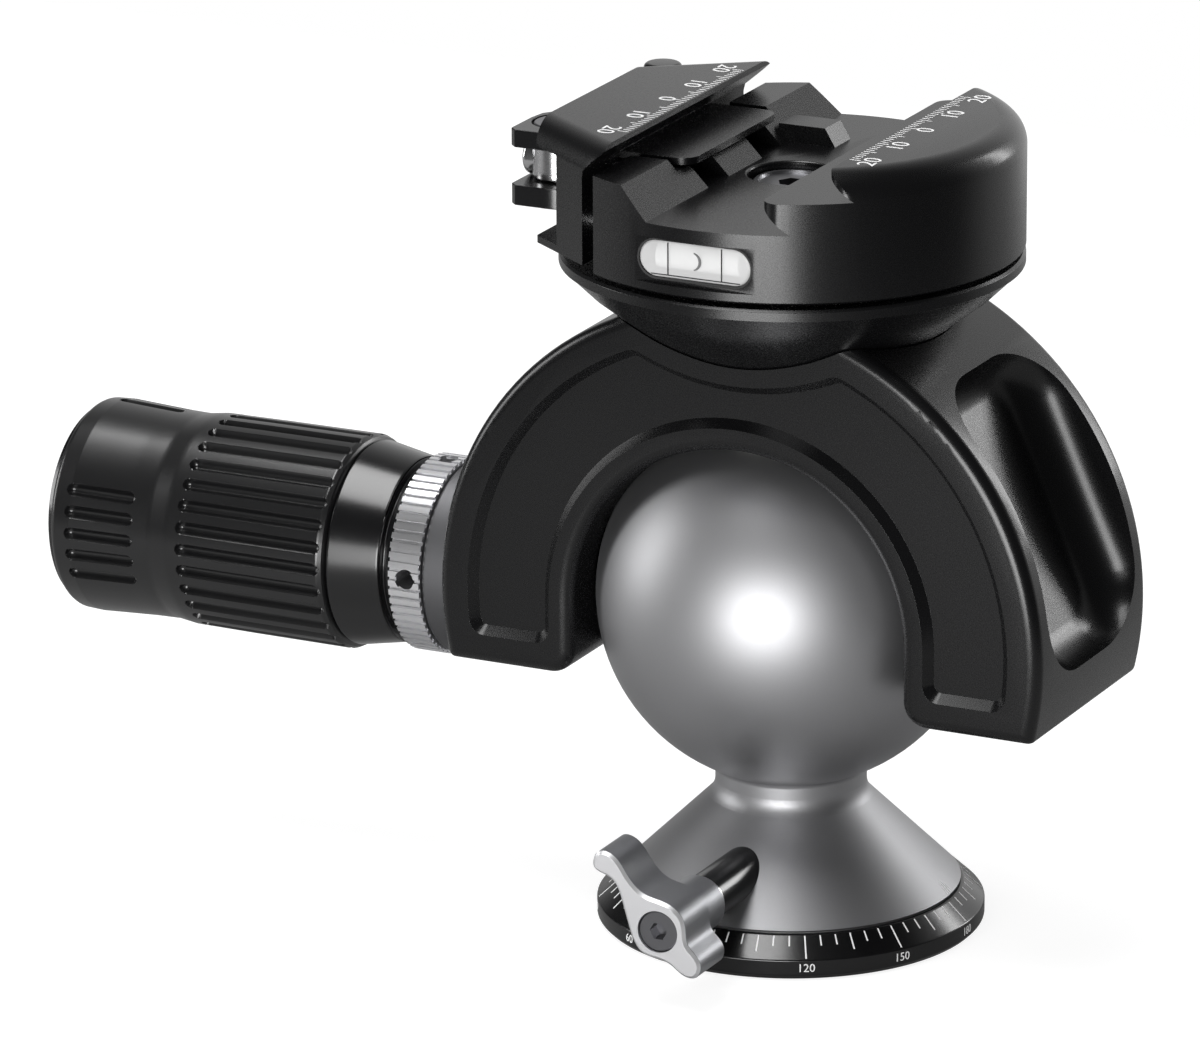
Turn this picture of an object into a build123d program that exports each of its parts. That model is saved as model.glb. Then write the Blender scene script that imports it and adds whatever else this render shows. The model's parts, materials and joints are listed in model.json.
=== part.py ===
from build123d import *
from math import acos, asin, atan, atan2, cos, degrees, hypot, radians, sin, sqrt
import os

# Inverted tripod ball head. Millimetres, +Z up, origin at the centre of the base's underside.
# The lock handle points to -X, the base's pan lock and the spirit level face -Y.

# Base and pedestal
BASE_R = 30.0
RING_WALL_LOW, RING_WALL_HIGH = 0.8, 3.2
RING_BEVEL_IN_R, RING_TOP = 26.7, 6.2
RING_FLOOR = 4.2
HUB_R, HUB_TOP = 10.0, 17.0
HUB_GROOVE_DEPTH, HUB_GROOVE_HALF = 1.2, 2.0
TRIPOD_THREAD_R = 9.525 / 2
BUSH_R, BUSH_TOP = 7.0, 12.0
WASHER_T = 0.6
CONE_R, CONE_LOW = 26.3, 6.3
CONE_CHAMFER = 0.35
NECK_R, CONE_TOP = 11.7, 21.0
CONE_BLEND, BALL_BLEND = 3.5, 1.0

# Ball: centre height and radius
BALL_Z, BALL_R = 52.6, 30.0

# Pan lock in the pedestal's front, along -Y
PAN_LOCK_Z = 12.5
PAN_BOSS_R, PAN_BOSS_IN, PAN_BOSS_OUT = 3.7, 14.5, 32.2
PAN_WASHER_R = 4.1
PAN_KNOB_BACK, PAN_KNOB_FRONT = 32.9, 47.2
PAN_HUB_R, PAN_WING_BACK = 4.4, 38.2
PAN_STUD_R = 2.0
PAN_CAP_R = 3.3
PAN_HEX = 2.5
PAN_SHOE_TIP = HUB_R - HUB_GROOVE_DEPTH + 0.65
RETAINER_TURNS = (145, 235)

# Arch yoke
ARCH_R, ARCH_OPEN_R, ARCH_T = 50.3, 27.6, 41.4
LEG_LOW = BALL_Z - 11.9
LEG_CORNER_R, ARCH_EDGE_R = 4.0, 2.0
SEAT_R = BALL_R + 0.3
POCKET_OUT_R, POCKET_IN_R, POCKET_DEPTH, POCKET_SLOPE = 45.2, 31.3, 1.5, 1.3
POCKET_LOW = BALL_Z - 7.2
POCKET_CORNER_R, POCKET_LIP, POCKET_LIP_X = 2.6, 2.0, 18.0
SCOOP_W, SCOOP_L, SCOOP_ANGLE = 33.2, 49.6, 24.0
SCOOP_FLOOR, SCOOP_CORNER_R, SCOOP_BLEND = 41.0, 11.5, 7.0
LEG_TIP_R, BOWL_GAP = 1.0, 0.15
LINER_R = BALL_R + 1.8
LINER_IN_ANGLE, LINER_OUT_ANGLE, LINER_STEPS = 9.0, 27.0, 6
FIXED_PAD_R, FIXED_PAD_BACK = 8.0, 35.0

# Lock handle, on an axis along X just below the ball's centre
HANDLE_Z = BALL_Z - 2.2
COLLAR_R, COLLAR_OUT = 15.0, 56.3
COLLAR_NECK_R, COLLAR_NECK_IN, COLLAR_SEAT = 11.0, 38.0, 46.6
NOSE_R = 8.0
RING_R, RING_OUT, RING_TEETH = 15.5, 61.7, 64
RING_TOOTH_GAP, RING_TOOTH_DEPTH = 0.6, 0.5
RING_HOLE_R, RING_HOLE_X = 1.6, 58.9
GAP_R, GAP_OUT = 13.2, 63.8
HUB_SMALL_R, HUB_LARGE_R, HUB_OUT = 14.7, 16.2, 72.6
GRIP_R, GRIP_MAIN_OUT = 17.0, 100.4
WAIST_R, WAIST_X, GRIP_END_X = 16.4, 103.7, 108.0
GRIP_END_R, GRIP_TAIL, HANDLE_END = 17.0, 121.2, 122.3
CORE_OUT = 118.0
GROOVES, GROOVE_W, GROOVE_DEPTH = 30, 1.7, 0.7
LONG_GROOVE = (73.9, 98.6)
SHORT_GROOVE = (106.6, 118.4)
SPINDLE_R, SPINDLE_TIP = 5.0, 40.0
SHOE_R, SHOE_BACK = 7.0, 37.0

# Pan base under the clamp
PAN_BASE_R, PAN_BASE_LOW, PAN_BASE_TOP = 35.4, BALL_Z + 36.8, BALL_Z + 54.8
PAN_BASE_LIP = BALL_Z + 53.0
PAN_BASE_FOOT_R = 14.4
ROTOR_R, ROTOR_LOW = 9.0, BALL_Z + 38.0
PAN_WASHER_IN, PAN_WASHER_OUT = 12.0, 21.5
TOP_LOCK_Z = BALL_Z + 47.0
BASE_SCREW_R, BASE_SCREW_DEPTH = 2.0, 7.0
BASE_SCREW_PLACES = [(x, y) for x in (-16.5, 16.5) for y in (-8.0, 8.0)]
BASE_HEAD_R, BASE_HEAD_DEPTH = 3.5, 5.5
CLIP_Z, CLIP_T, CLIP_R = BALL_Z + 39.4, 0.9, 10.4
CLIP_CAVITY_R, CLIP_CAVITY_TOP = 10.8, BALL_Z + 40.5
TOP_BOSS_R, TOP_BOSS_IN, TOP_BOSS_OUT = 3.2, 15.5, 36.4
TOP_SHOE_R = 2.4
TOP_KNOB_R, TOP_KNOB_OUT, TOP_KNOB_TEETH = 4.6, 44.5, 20

# Clamp
CENTRE_SCREW_R, CENTRE_SCREW_LOW = 3.0, BALL_Z + 42.0
CENTRE_HEAD_R, CENTRE_HEAD_LOW = 5.0, BALL_Z + 58.2
CLAMP_R, CLAMP_LOW, CLAMP_TOP = 35.4, BALL_Z + 55.6, BALL_Z + 75.4
CLAMP_EDGE_R = 4.2
FLOOR_Z, SHELF_Z = BALL_Z + 66.2, BALL_Z + 71.0
FIXED_LIP_X, FIXED_ROOT_X = 18.4, 22.7
SHELF_LIP_X, SHELF_ROOT_X = 9.9, 14.7
RAMP_LOW_X, RAMP_TOP_X = -7.8, -12.6
BODY_FLAT_X = -18.7
NOTCH_IN, NOTCH_OUT = 5.8, 13.0
NOTCH_BACK_X, BLADE_HALF, BLADE_RECESS_Z = -15.5, 15.5, BALL_Z + 69.4
STOP_FOOT_X, STOP_TOP_X, STOP_TOP, STOP_Y = -0.3, -2.0, BALL_Z + 69.0, (16.0, 21.6)
LIP_LAND, LIP_CORNER_R = 0.9, 2.6
JAW_LIP_X, JAW_ROOT_X = -17.4, -21.3
JAW_LEFT_X, JAW_CORNER_Y, JAW_CORNER_R = -33.4, 19.6, 0.7
WEB_IN_X, WEB_OUT_X = -21.5, -28.2
JAW_PLATE_LOW = BALL_Z + 71.4
WEB_LOW, FOOT_TOP = BALL_Z + 56.3, BALL_Z + 57.4
BLADE_LIP_X, BLADE_TOP, BLADE_LOW = -9.4, BALL_Z + 71.0, BALL_Z + 69.9
RECESS_R, RECESS_Z, RECESS_EDGE_R = 6.8, BALL_Z + 63.2, 0.5
CENTRE_CAP_R, CENTRE_CAP_LOW, CENTRE_CAP_TOP = 6.0, RECESS_Z + 0.1, FLOOR_Z - 1.0
CENTRE_CAP_RIM, CENTRE_CAP_DISH, CENTRE_CAP_BEVEL = 0.8, 0.4, 0.3
CENTRE_HEX_HALF, CENTRE_HEX_DEPTH = 2.0, 2.6
LEVER_X, LEVER_Y = -37.2, -3.8
ARM_UP = (BALL_Z + 68.1, BALL_Z + 70.9)
ARM_DOWN = (BALL_Z + 59.0, BALL_Z + 62.2)
EYE_R, PIVOT_R = 4.3, 1.5
PIN_HEAD_R, PIN_SEAT_R, PIN_HEAD_T = 4.15, 4.4, 0.9
ARM_LEFT_X, ARM_BACK_X = -42.4, -39.5
CAM_CLOSED, CAM_OPEN, CAM_GAP = WEB_OUT_X - LEVER_X, 7.6, 0.3
LEVER_IN_R, LEVER_OUT_R = 39.3, 43.3
TAIL_START, TAIL_END = radians(172.0), radians(144.1)
TAIL_TOP, TAIL_TIP_R, TAIL_TIP_TOP = BALL_Z + 68.8, 3.0, BALL_Z + 74.0
ROD_NUT_R, ROD_NUT_X = 2.85, -42.6
DRAW_ROD_R, DRAW_ROD_Z, DRAW_ROD_END = 1.9, BALL_Z + 65.1, -11.0
GUIDE_R, GUIDE_Y, GUIDE_Z, GUIDE_END = 1.6, 20.5, BALL_Z + 61.5, -7.0
SPRING_R, SPRING_WIRE_R, SPRING_POCKET = 2.4, 0.3, 4.0
VIAL_FLAT_Y, VIAL_Z = -34.0, BALL_Z + 60.8
VIAL_W, VIAL_H, VIAL_DEPTH, BACKING_T = 18.4, 5.8, 5.4, 0.5
VIAL_TUBE_Y, TUBE_R, TUBE_HALF = VIAL_FLAT_Y + 2.6, 2.0, 6.8
BUBBLE_R, BUBBLE_HALF = 1.2, 2.2
FLAT_LOW, FLAT_HIGH = BALL_Z + 57.1, BALL_Z + 64.1

FIT = 0.05
Z_AXIS = Axis((0, 0, 0), (0, 0, 1))
TILT_AXIS = Axis((0, 0, BALL_Z), (1, 0, 0))
HANDLE_AXIS = Axis((0, 0, HANDLE_Z), (1, 0, 0))
PAN_LOCK_AXIS = Axis((0, 0, PAN_LOCK_Z), (0, 1, 0))
TOP_LOCK_AXIS = Axis((0, 0, TOP_LOCK_Z), (0, 1, 0))

os.makedirs("parts", exist_ok=True)


def section(*points):
    """A face in the XZ plane through points given as (x, z)."""
    with BuildSketch(Plane.XZ) as face:
        with BuildLine():
            Polyline(*points, close=True)
        make_face()
    return face.sketch


def side_section(*points):
    """A face in the YZ plane through points given as (y, z)."""
    with BuildSketch(Plane.YZ) as face:
        with BuildLine():
            Polyline(*points, close=True)
        make_face()
    return face.sketch


def write(builder, name):
    """Label one finished piece and write its STEP file."""
    builder.part.label = name
    export_step(builder.part, f"parts/{name}.step")


def bowl_points(gap):
    """The pan base's conical underside, moved out by a gap."""
    return [
        (0, PAN_BASE_LOW - gap),
        (PAN_BASE_FOOT_R + gap / 2, PAN_BASE_LOW - gap),
        (24.2 + gap, BALL_Z + 43.6 - gap),
        (31.0 + gap, BALL_Z + 48.9 - gap),
        (PAN_BASE_R - 0.2 + gap, PAN_BASE_LIP - gap),
    ]


def bowl_shadow():
    """The part of the arch's face that the bowl and a lip beside it take up, in face coordinates."""
    profile = bowl_points(POCKET_LIP)[1:]
    edge = []
    for x in (0, POCKET_LIP_X):
        reach = hypot(x, ARCH_T / 2)
        for (r0, z0), (r1, z1) in zip(profile, profile[1:]):
            if r0 <= reach <= r1:
                edge.append((x, z0 + (z1 - z0) * (reach - r0) / (r1 - r0)))
    (low_x, low_z), (side_x, side_z) = edge
    with BuildSketch() as face:
        with BuildLine():
            ThreePointArc((-side_x, side_z), (low_x, low_z), (side_x, side_z))
            Polyline(
                (side_x, side_z),
                (side_x, BALL_Z + ARCH_R),
                (-side_x, BALL_Z + ARCH_R),
                (-side_x, side_z),
            )
        make_face()
    return face.sketch


def liner_points(gap):
    """Zone between two spheres about the ball's centre, as seen beside the Z axis."""
    points = []
    for step in range(LINER_STEPS + 1):
        angle = LINER_IN_ANGLE + (LINER_OUT_ANGLE - LINER_IN_ANGLE) * step / LINER_STEPS
        points.append((LINER_R * sin(radians(angle)), BALL_Z + LINER_R * cos(radians(angle))))
    for step in range(LINER_STEPS, -1, -1):
        angle = LINER_IN_ANGLE + (LINER_OUT_ANGLE - LINER_IN_ANGLE) * step / LINER_STEPS
        inner = SEAT_R + 0.02 - gap
        points.append((inner * sin(radians(angle)), BALL_Z + inner * cos(radians(angle))))
    return points


def lip_waste(lip_x, low_z):
    """What is cut away round the two ends of a clamp lip, as a face at a height."""
    with BuildSketch() as kept:
        Circle(CLAMP_R)
        with Locations((lip_x - CLAMP_R, 0)):
            Rectangle(2 * CLAMP_R, 3 * CLAMP_R, mode=Mode.SUBTRACT)
        fillet(kept.vertices(), LIP_CORNER_R)
    with BuildSketch(Plane.XY.offset(low_z)) as face:
        with Locations((lip_x + LIP_CORNER_R, 0)):
            Rectangle(2 * LIP_CORNER_R, 3 * CLAMP_R)
        add(kept.sketch, mode=Mode.SUBTRACT)
    return face.sketch


# Scale ring: the fixed base disc with its bevel, hub and groove for the pan lock
with BuildPart() as scale_ring:
    revolve(
        section(
            (BUSH_R, 0),
            (BASE_R - 0.8, 0),
            (BASE_R, RING_WALL_LOW),
            (BASE_R, RING_WALL_HIGH),
            (RING_BEVEL_IN_R, RING_TOP),
            (RING_BEVEL_IN_R - 0.6, RING_TOP),
            (RING_BEVEL_IN_R - 0.6, RING_FLOOR),
            (HUB_R, RING_FLOOR),
            (HUB_R, PAN_LOCK_Z - HUB_GROOVE_HALF),
            (HUB_R - HUB_GROOVE_DEPTH, PAN_LOCK_Z - 0.6),
            (HUB_R - HUB_GROOVE_DEPTH, PAN_LOCK_Z + 0.6),
            (HUB_R, PAN_LOCK_Z + HUB_GROOVE_HALF),
            (HUB_R, HUB_TOP - 0.6),
            (HUB_R - 0.6, HUB_TOP),
            (0, HUB_TOP),
            (0, BUSH_TOP),
            (BUSH_R, BUSH_TOP),
        ),
        axis=Z_AXIS,
    )
write(scale_ring, "scale_ring")

# Steel bush with the 3/8 inch tripod thread, pressed in from below
with BuildPart() as tripod_bush:
    revolve(
        section(
            (TRIPOD_THREAD_R, 0),
            (BUSH_R, 0),
            (BUSH_R, BUSH_TOP),
            (TRIPOD_THREAD_R, BUSH_TOP),
        ),
        axis=Z_AXIS,
    )
write(tripod_bush, "tripod_bush")

# Low friction washer that the pedestal pans on
with BuildPart() as pan_washer:
    revolve(
        section(
            (HUB_R + 1.2, RING_FLOOR),
            (RING_BEVEL_IN_R - 1.4, RING_FLOOR),
            (RING_BEVEL_IN_R - 1.4, RING_FLOOR + WASHER_T),
            (HUB_R + 1.2, RING_FLOOR + WASHER_T),
        ),
        axis=Z_AXIS,
    )
write(pan_washer, "pan_washer")

# Ball, neck and cone in one piece
NECK_BALL_Z = BALL_Z - sqrt(BALL_R**2 - NECK_R**2)
SKIRT_LOW = RING_FLOOR + WASHER_T + 0.1
with BuildPart() as ball_pedestal:
    with BuildSketch(Plane.XZ):
        with BuildLine():
            Polyline(
                (0, HUB_TOP + 0.5),
                (HUB_R + FIT, HUB_TOP + 0.5),
                (HUB_R + FIT, SKIRT_LOW),
                (RING_BEVEL_IN_R - 0.9, SKIRT_LOW),
                (RING_BEVEL_IN_R - 0.9, CONE_LOW),
                (CONE_R - CONE_CHAMFER, CONE_LOW),
                (CONE_R, CONE_LOW + CONE_CHAMFER),
                (NECK_R, CONE_TOP),
                (NECK_R, NECK_BALL_Z),
            )
            ThreePointArc(
                (NECK_R, NECK_BALL_Z),
                (BALL_R, BALL_Z),
                (0, BALL_Z + BALL_R),
            )
            Line((0, BALL_Z + BALL_R), (0, HUB_TOP + 0.5))
        make_face()
    revolve(axis=Z_AXIS)
    neck_edges = ball_pedestal.edges().filter_by(GeomType.CIRCLE)
    neck_edges = neck_edges.filter_by(lambda e: abs(e.radius - NECK_R) < 0.01).sort_by(Axis.Z)
    fillet(neck_edges[-1], BALL_BLEND)
    neck_edges = ball_pedestal.edges().filter_by(GeomType.CIRCLE)
    neck_edges = neck_edges.filter_by(lambda e: abs(e.radius - NECK_R) < 0.01).sort_by(Axis.Z)
    fillet(neck_edges[0], CONE_BLEND)
    with BuildSketch(Plane.XZ.offset(PAN_BOSS_IN - 3)):
        with Locations((0, PAN_LOCK_Z)):
            Circle(PAN_BOSS_R)
    extrude(amount=CONE_R, mode=Mode.SUBTRACT)
    with BuildSketch(Plane.XZ.offset(HUB_R - 1)):
        with Locations((0, PAN_LOCK_Z)):
            Circle(PAN_STUD_R + 0.5)
    extrude(amount=8, mode=Mode.SUBTRACT)
    for turn in RETAINER_TURNS:
        bore_plane = Plane.XZ.rotated((0, 0, turn), ordering=Extrinsic.XYZ)
        with BuildSketch(bore_plane.offset(HUB_R - 1)):
            with Locations((0, PAN_LOCK_Z)):
                Circle(PAN_STUD_R)
        extrude(amount=CONE_R, mode=Mode.SUBTRACT)
write(ball_pedestal, "ball_pedestal")

# Grub screws whose points run in the hub's groove and hold the pedestal down
with BuildPart() as retaining_screws:
    for turn in RETAINER_TURNS:
        screw_plane = Plane.XZ.rotated((0, 0, turn), ordering=Extrinsic.XYZ)
        with BuildSketch(screw_plane.offset(HUB_R + 1.0)):
            with Locations((0, PAN_LOCK_Z)):
                Circle(PAN_STUD_R)
        extrude(amount=7.0)
        with BuildSketch(screw_plane.offset(HUB_R + 1.0)) as screw_root:
            with Locations((0, PAN_LOCK_Z)):
                Circle(PAN_STUD_R)
        with BuildSketch(screw_plane.offset(PAN_SHOE_TIP)) as screw_point:
            with Locations((0, PAN_LOCK_Z)):
                Circle(0.5)
        loft(sections=[screw_root.sketch, screw_point.sketch])
        with BuildSketch(screw_plane.offset(HUB_R + 8.0)):
            with Locations((0, PAN_LOCK_Z)):
                RegularPolygon(1.15, 6)
        extrude(amount=-2.5, mode=Mode.SUBTRACT)
write(retaining_screws, "retaining_screws")

# Threaded sleeve that carries the pan lock's stud
with BuildPart() as pan_lock_boss:
    with BuildSketch(Plane.XZ.offset(HUB_R + 1.6)):
        with Locations((0, PAN_LOCK_Z)):
            Circle(PAN_BOSS_R)
            Circle(PAN_STUD_R + 0.5, mode=Mode.SUBTRACT)
    extrude(amount=3.4)
    with BuildSketch(Plane.XZ.offset(HUB_R + 5.0)):
        with Locations((0, PAN_LOCK_Z)):
            Circle(PAN_BOSS_R)
            Circle(PAN_STUD_R + FIT, mode=Mode.SUBTRACT)
    extrude(amount=PAN_BOSS_OUT - HUB_R - 5.0)
    chamfer(pan_lock_boss.edges().group_by(Axis.Y)[0], 0.3)
write(pan_lock_boss, "pan_lock_boss")

# Shoe that the stud presses into the hub's groove
PAN_SHOE_BACK = HUB_R + 4.2
with BuildPart() as pan_lock_shoe:
    revolve(
        side_section(
            (-PAN_SHOE_TIP, PAN_LOCK_Z),
            (-PAN_SHOE_TIP, PAN_LOCK_Z + 0.5),
            (-HUB_R - 1.2, PAN_LOCK_Z + PAN_STUD_R + 0.4),
            (-PAN_SHOE_BACK, PAN_LOCK_Z + PAN_STUD_R + 0.4),
            (-PAN_SHOE_BACK, PAN_LOCK_Z),
        ),
        axis=PAN_LOCK_AXIS,
    )
write(pan_lock_shoe, "pan_lock_shoe")

# Stud turned by the knob
PAN_STUD_TIP, PAN_STUD_OUT = PAN_SHOE_BACK + 0.9, 43.4
with BuildPart() as pan_lock_stud:
    revolve(
        side_section(
            (-PAN_STUD_TIP, PAN_LOCK_Z),
            (-PAN_STUD_TIP, PAN_LOCK_Z + PAN_STUD_R - 0.3),
            (-PAN_STUD_TIP - 0.3, PAN_LOCK_Z + PAN_STUD_R),
            (-PAN_STUD_OUT, PAN_LOCK_Z + PAN_STUD_R),
            (-PAN_STUD_OUT, PAN_LOCK_Z + 1.25),
            (-PAN_STUD_OUT + 8, PAN_LOCK_Z + 1.25),
            (-PAN_STUD_OUT + 8, PAN_LOCK_Z),
        ),
        axis=PAN_LOCK_AXIS,
    )
write(pan_lock_stud, "pan_lock_stud")

# Thin washer between the sleeve and the knob
with BuildPart() as pan_lock_washer:
    with BuildSketch(Plane.XZ.offset(PAN_BOSS_OUT + FIT)):
        with Locations((0, PAN_LOCK_Z)):
            Circle(PAN_WASHER_R)
            Circle(PAN_STUD_R + FIT, mode=Mode.SUBTRACT)
    extrude(amount=PAN_KNOB_BACK - PAN_BOSS_OUT - FIT)
write(pan_lock_washer, "pan_lock_washer")

# Winged pan knob: a round hub with one long and one short lobe
WING_OUTLINE = [
    (-10.9, 9.6),
    (-9.4, 11.4),
    (-7.5, 10.9),
    (-5.3, 8.3),
    (-2.4, 5.6),
    (2.0, 4.4),
    (4.3, 1.9),
    (4.9, -1.5),
    (6.9, -4.0),
    (6.3, -6.4),
    (4.4, -6.6),
    (1.6, -4.9),
    (-2.8, -3.8),
    (-4.9, -0.2),
    (-6.2, 4.2),
    (-8.3, 7.4),
]
with BuildPart() as pan_lock_knob:
    with BuildSketch(Plane.XZ.offset(PAN_WING_BACK)):
        with BuildLine(Plane.XZ.offset(PAN_WING_BACK)):
            Spline(*[(x, PAN_LOCK_Z + z) for x, z in WING_OUTLINE], periodic=True)
        make_face()
    extrude(amount=PAN_KNOB_FRONT - PAN_WING_BACK)
    chamfer(pan_lock_knob.edges().group_by(Axis.Y)[0], 0.5)
    chamfer(pan_lock_knob.edges().group_by(Axis.Y)[-1], 0.4)
    with BuildSketch(Plane.XZ.offset(PAN_KNOB_BACK)):
        with Locations((0, PAN_LOCK_Z)):
            Circle(PAN_HUB_R)
    extrude(amount=PAN_WING_BACK - PAN_KNOB_BACK + 1)
    with BuildSketch(Plane.XZ.offset(PAN_KNOB_BACK)):
        with Locations((0, PAN_LOCK_Z)):
            Circle(PAN_STUD_R)
    extrude(amount=20, mode=Mode.SUBTRACT)
    with BuildSketch(Plane.XZ.offset(PAN_STUD_OUT)):
        with Locations((0, PAN_LOCK_Z)):
            Circle(PAN_CAP_R)
    extrude(amount=20, mode=Mode.SUBTRACT)
write(pan_lock_knob, "pan_lock_knob")

# Socket head screw that fixes the knob to its stud
PAN_CAP_FACE = PAN_KNOB_FRONT - 0.3
with BuildPart() as pan_lock_screw:
    with BuildSketch(Plane.XZ.offset(PAN_STUD_OUT)):
        with Locations((0, PAN_LOCK_Z)):
            Circle(PAN_CAP_R - FIT)
    extrude(amount=PAN_CAP_FACE - PAN_STUD_OUT)
    chamfer(pan_lock_screw.edges().group_by(Axis.Y)[0], 0.25)
    with BuildSketch(Plane.XZ.offset(PAN_STUD_OUT)):
        with Locations((0, PAN_LOCK_Z)):
            Circle(1.25)
    extrude(amount=-7)
    with BuildSketch(Plane.XZ.offset(PAN_CAP_FACE)):
        with Locations((0, PAN_LOCK_Z)):
            RegularPolygon(PAN_HEX / 2, 6, major_radius=False)
    extrude(amount=-2.2, mode=Mode.SUBTRACT)
write(pan_lock_screw, "pan_lock_screw")

# Arch yoke: the horseshoe body over the ball, with a scoop in its right outer face
scoop_plane = Plane(
    origin=(0, 0, BALL_Z),
    x_dir=(0, 1, 0),
    z_dir=(cos(radians(SCOOP_ANGLE)), 0, sin(radians(SCOOP_ANGLE))),
)
with BuildPart() as scoop:
    with BuildSketch(scoop_plane.offset(SCOOP_FLOOR)):
        RectangleRounded(SCOOP_W, SCOOP_L, SCOOP_CORNER_R)
    extrude(amount=ARCH_R)
    ball_centre = Vector(0, 0, BALL_Z)
    scoop_floor = scoop.faces().sort_by(lambda f: (f.center() - ball_centre).length)[0]
    fillet(scoop_floor.edges(), SCOOP_BLEND)

bowl_side = bowl_shadow()
with BuildPart() as arch_yoke:
    with BuildSketch(Plane.XZ):
        with Locations((0, BALL_Z)):
            Circle(ARCH_R)
            Circle(ARCH_OPEN_R, mode=Mode.SUBTRACT)
        with Locations((0, BALL_Z - ARCH_R / 2)):
            Rectangle(2 * ARCH_OPEN_R, ARCH_R, mode=Mode.SUBTRACT)
        with Locations((0, LEG_LOW - ARCH_R / 2)):
            Rectangle(2 * ARCH_R, ARCH_R, mode=Mode.SUBTRACT)
    extrude(amount=ARCH_T / 2, both=True)
    leg_corners = arch_yoke.edges().filter_by(Axis.Y).group_by(Axis.Z)[0].sort_by(Axis.X)
    fillet(leg_corners[1:3], LEG_CORNER_R)
    leg_corners = arch_yoke.edges().filter_by(Axis.Y).group_by(Axis.Z)[0].sort_by(Axis.X)
    fillet([leg_corners[0], leg_corners[-1]], LEG_TIP_R)
    face_edges = arch_yoke.edges().group_by(Axis.Y)
    fillet(face_edges[0] + face_edges[-1], ARCH_EDGE_R)
    add(scoop.part, mode=Mode.SUBTRACT)
    for side in (1, -1):
        with BuildSketch(Plane.XZ.offset(side * ARCH_T / 2)) as pocket:
            with Locations((0, BALL_Z)):
                Circle(POCKET_OUT_R)
                Circle(POCKET_IN_R, mode=Mode.SUBTRACT)
            with Locations((0, BALL_Z - ARCH_R / 2)):
                Rectangle(2 * POCKET_IN_R, ARCH_R, mode=Mode.SUBTRACT)
            with Locations((0, POCKET_LOW - ARCH_R / 2)):
                Rectangle(2 * ARCH_R, ARCH_R, mode=Mode.SUBTRACT)
            add(bowl_side, mode=Mode.SUBTRACT)
            fillet(pocket.vertices().group_by(Axis.Y)[0], POCKET_CORNER_R)
            fillet(pocket.vertices().group_by(Axis.Y)[-1], POCKET_CORNER_R)
        extrude(
            amount=-side * POCKET_DEPTH,
            taper=degrees(atan(POCKET_SLOPE / POCKET_DEPTH)),
            mode=Mode.SUBTRACT,
        )
    with Locations((0, 0, BALL_Z)):
        Sphere(SEAT_R, mode=Mode.SUBTRACT)
    bowl_seat = section(*bowl_points(BOWL_GAP), (PAN_BASE_R + 3, BALL_Z + 60), (0, BALL_Z + 60))
    revolve(bowl_seat, axis=Z_AXIS, mode=Mode.SUBTRACT)
    liner_seat = section(*liner_points(0))
    revolve(liner_seat, axis=Z_AXIS, mode=Mode.SUBTRACT)
    # Bore for the fixed pad in the right leg
    fixed_bore = section(
        (0, BALL_Z),
        (0, BALL_Z + FIXED_PAD_R + FIT),
        (FIXED_PAD_BACK + FIT, BALL_Z + FIXED_PAD_R + FIT),
        (FIXED_PAD_BACK + FIT, BALL_Z),
    )
    revolve(fixed_bore, axis=TILT_AXIS, mode=Mode.SUBTRACT)
    # Bores for the lock shoe and the handle's collar in the left leg
    lock_bore = section(
        (-20, HANDLE_Z),
        (-20, HANDLE_Z + SHOE_R + FIT),
        (-COLLAR_NECK_IN, HANDLE_Z + SHOE_R + FIT),
        (-COLLAR_NECK_IN, HANDLE_Z + COLLAR_NECK_R),
        (-COLLAR_SEAT, HANDLE_Z + COLLAR_NECK_R),
        (-COLLAR_SEAT, HANDLE_Z + COLLAR_R),
        (-70, HANDLE_Z + COLLAR_R),
        (-70, HANDLE_Z),
    )
    revolve(lock_bore, axis=HANDLE_AXIS, mode=Mode.SUBTRACT)
    # Tapped holes for the pan base's screws
    with BuildSketch(Plane.XY.offset(PAN_BASE_LOW - BASE_SCREW_DEPTH)):
        with Locations(*BASE_SCREW_PLACES):
            Circle(BASE_SCREW_R)
    extrude(amount=30, mode=Mode.SUBTRACT)
write(arch_yoke, "arch_yoke")

# Bonded low friction liner over the top of the ball
with BuildPart() as seat_liner:
    revolve(section(*liner_points(0)), axis=Z_AXIS)
write(seat_liner, "seat_liner")

# Fixed pad in the right leg, round about the tilt axis
PAD_EDGE_X = sqrt(SEAT_R**2 - (FIXED_PAD_R - 0.8) ** 2)
with BuildPart() as fixed_seat_pad:
    with BuildSketch(Plane.XZ):
        with BuildLine():
            Polyline(
                (SEAT_R, BALL_Z),
                (FIXED_PAD_BACK, BALL_Z),
                (FIXED_PAD_BACK, BALL_Z + FIXED_PAD_R - 0.4),
                (FIXED_PAD_BACK - 0.4, BALL_Z + FIXED_PAD_R),
                (PAD_EDGE_X + 0.8, BALL_Z + FIXED_PAD_R),
                (PAD_EDGE_X, BALL_Z + FIXED_PAD_R - 0.8),
            )
            mid_angle = asin((FIXED_PAD_R - 0.8) / SEAT_R) / 2
            ThreePointArc(
                (PAD_EDGE_X, BALL_Z + FIXED_PAD_R - 0.8),
                (SEAT_R * cos(mid_angle), BALL_Z + SEAT_R * sin(mid_angle)),
                (SEAT_R, BALL_Z),
            )
        make_face()
    revolve(axis=TILT_AXIS)
write(fixed_seat_pad, "fixed_seat_pad")

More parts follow.
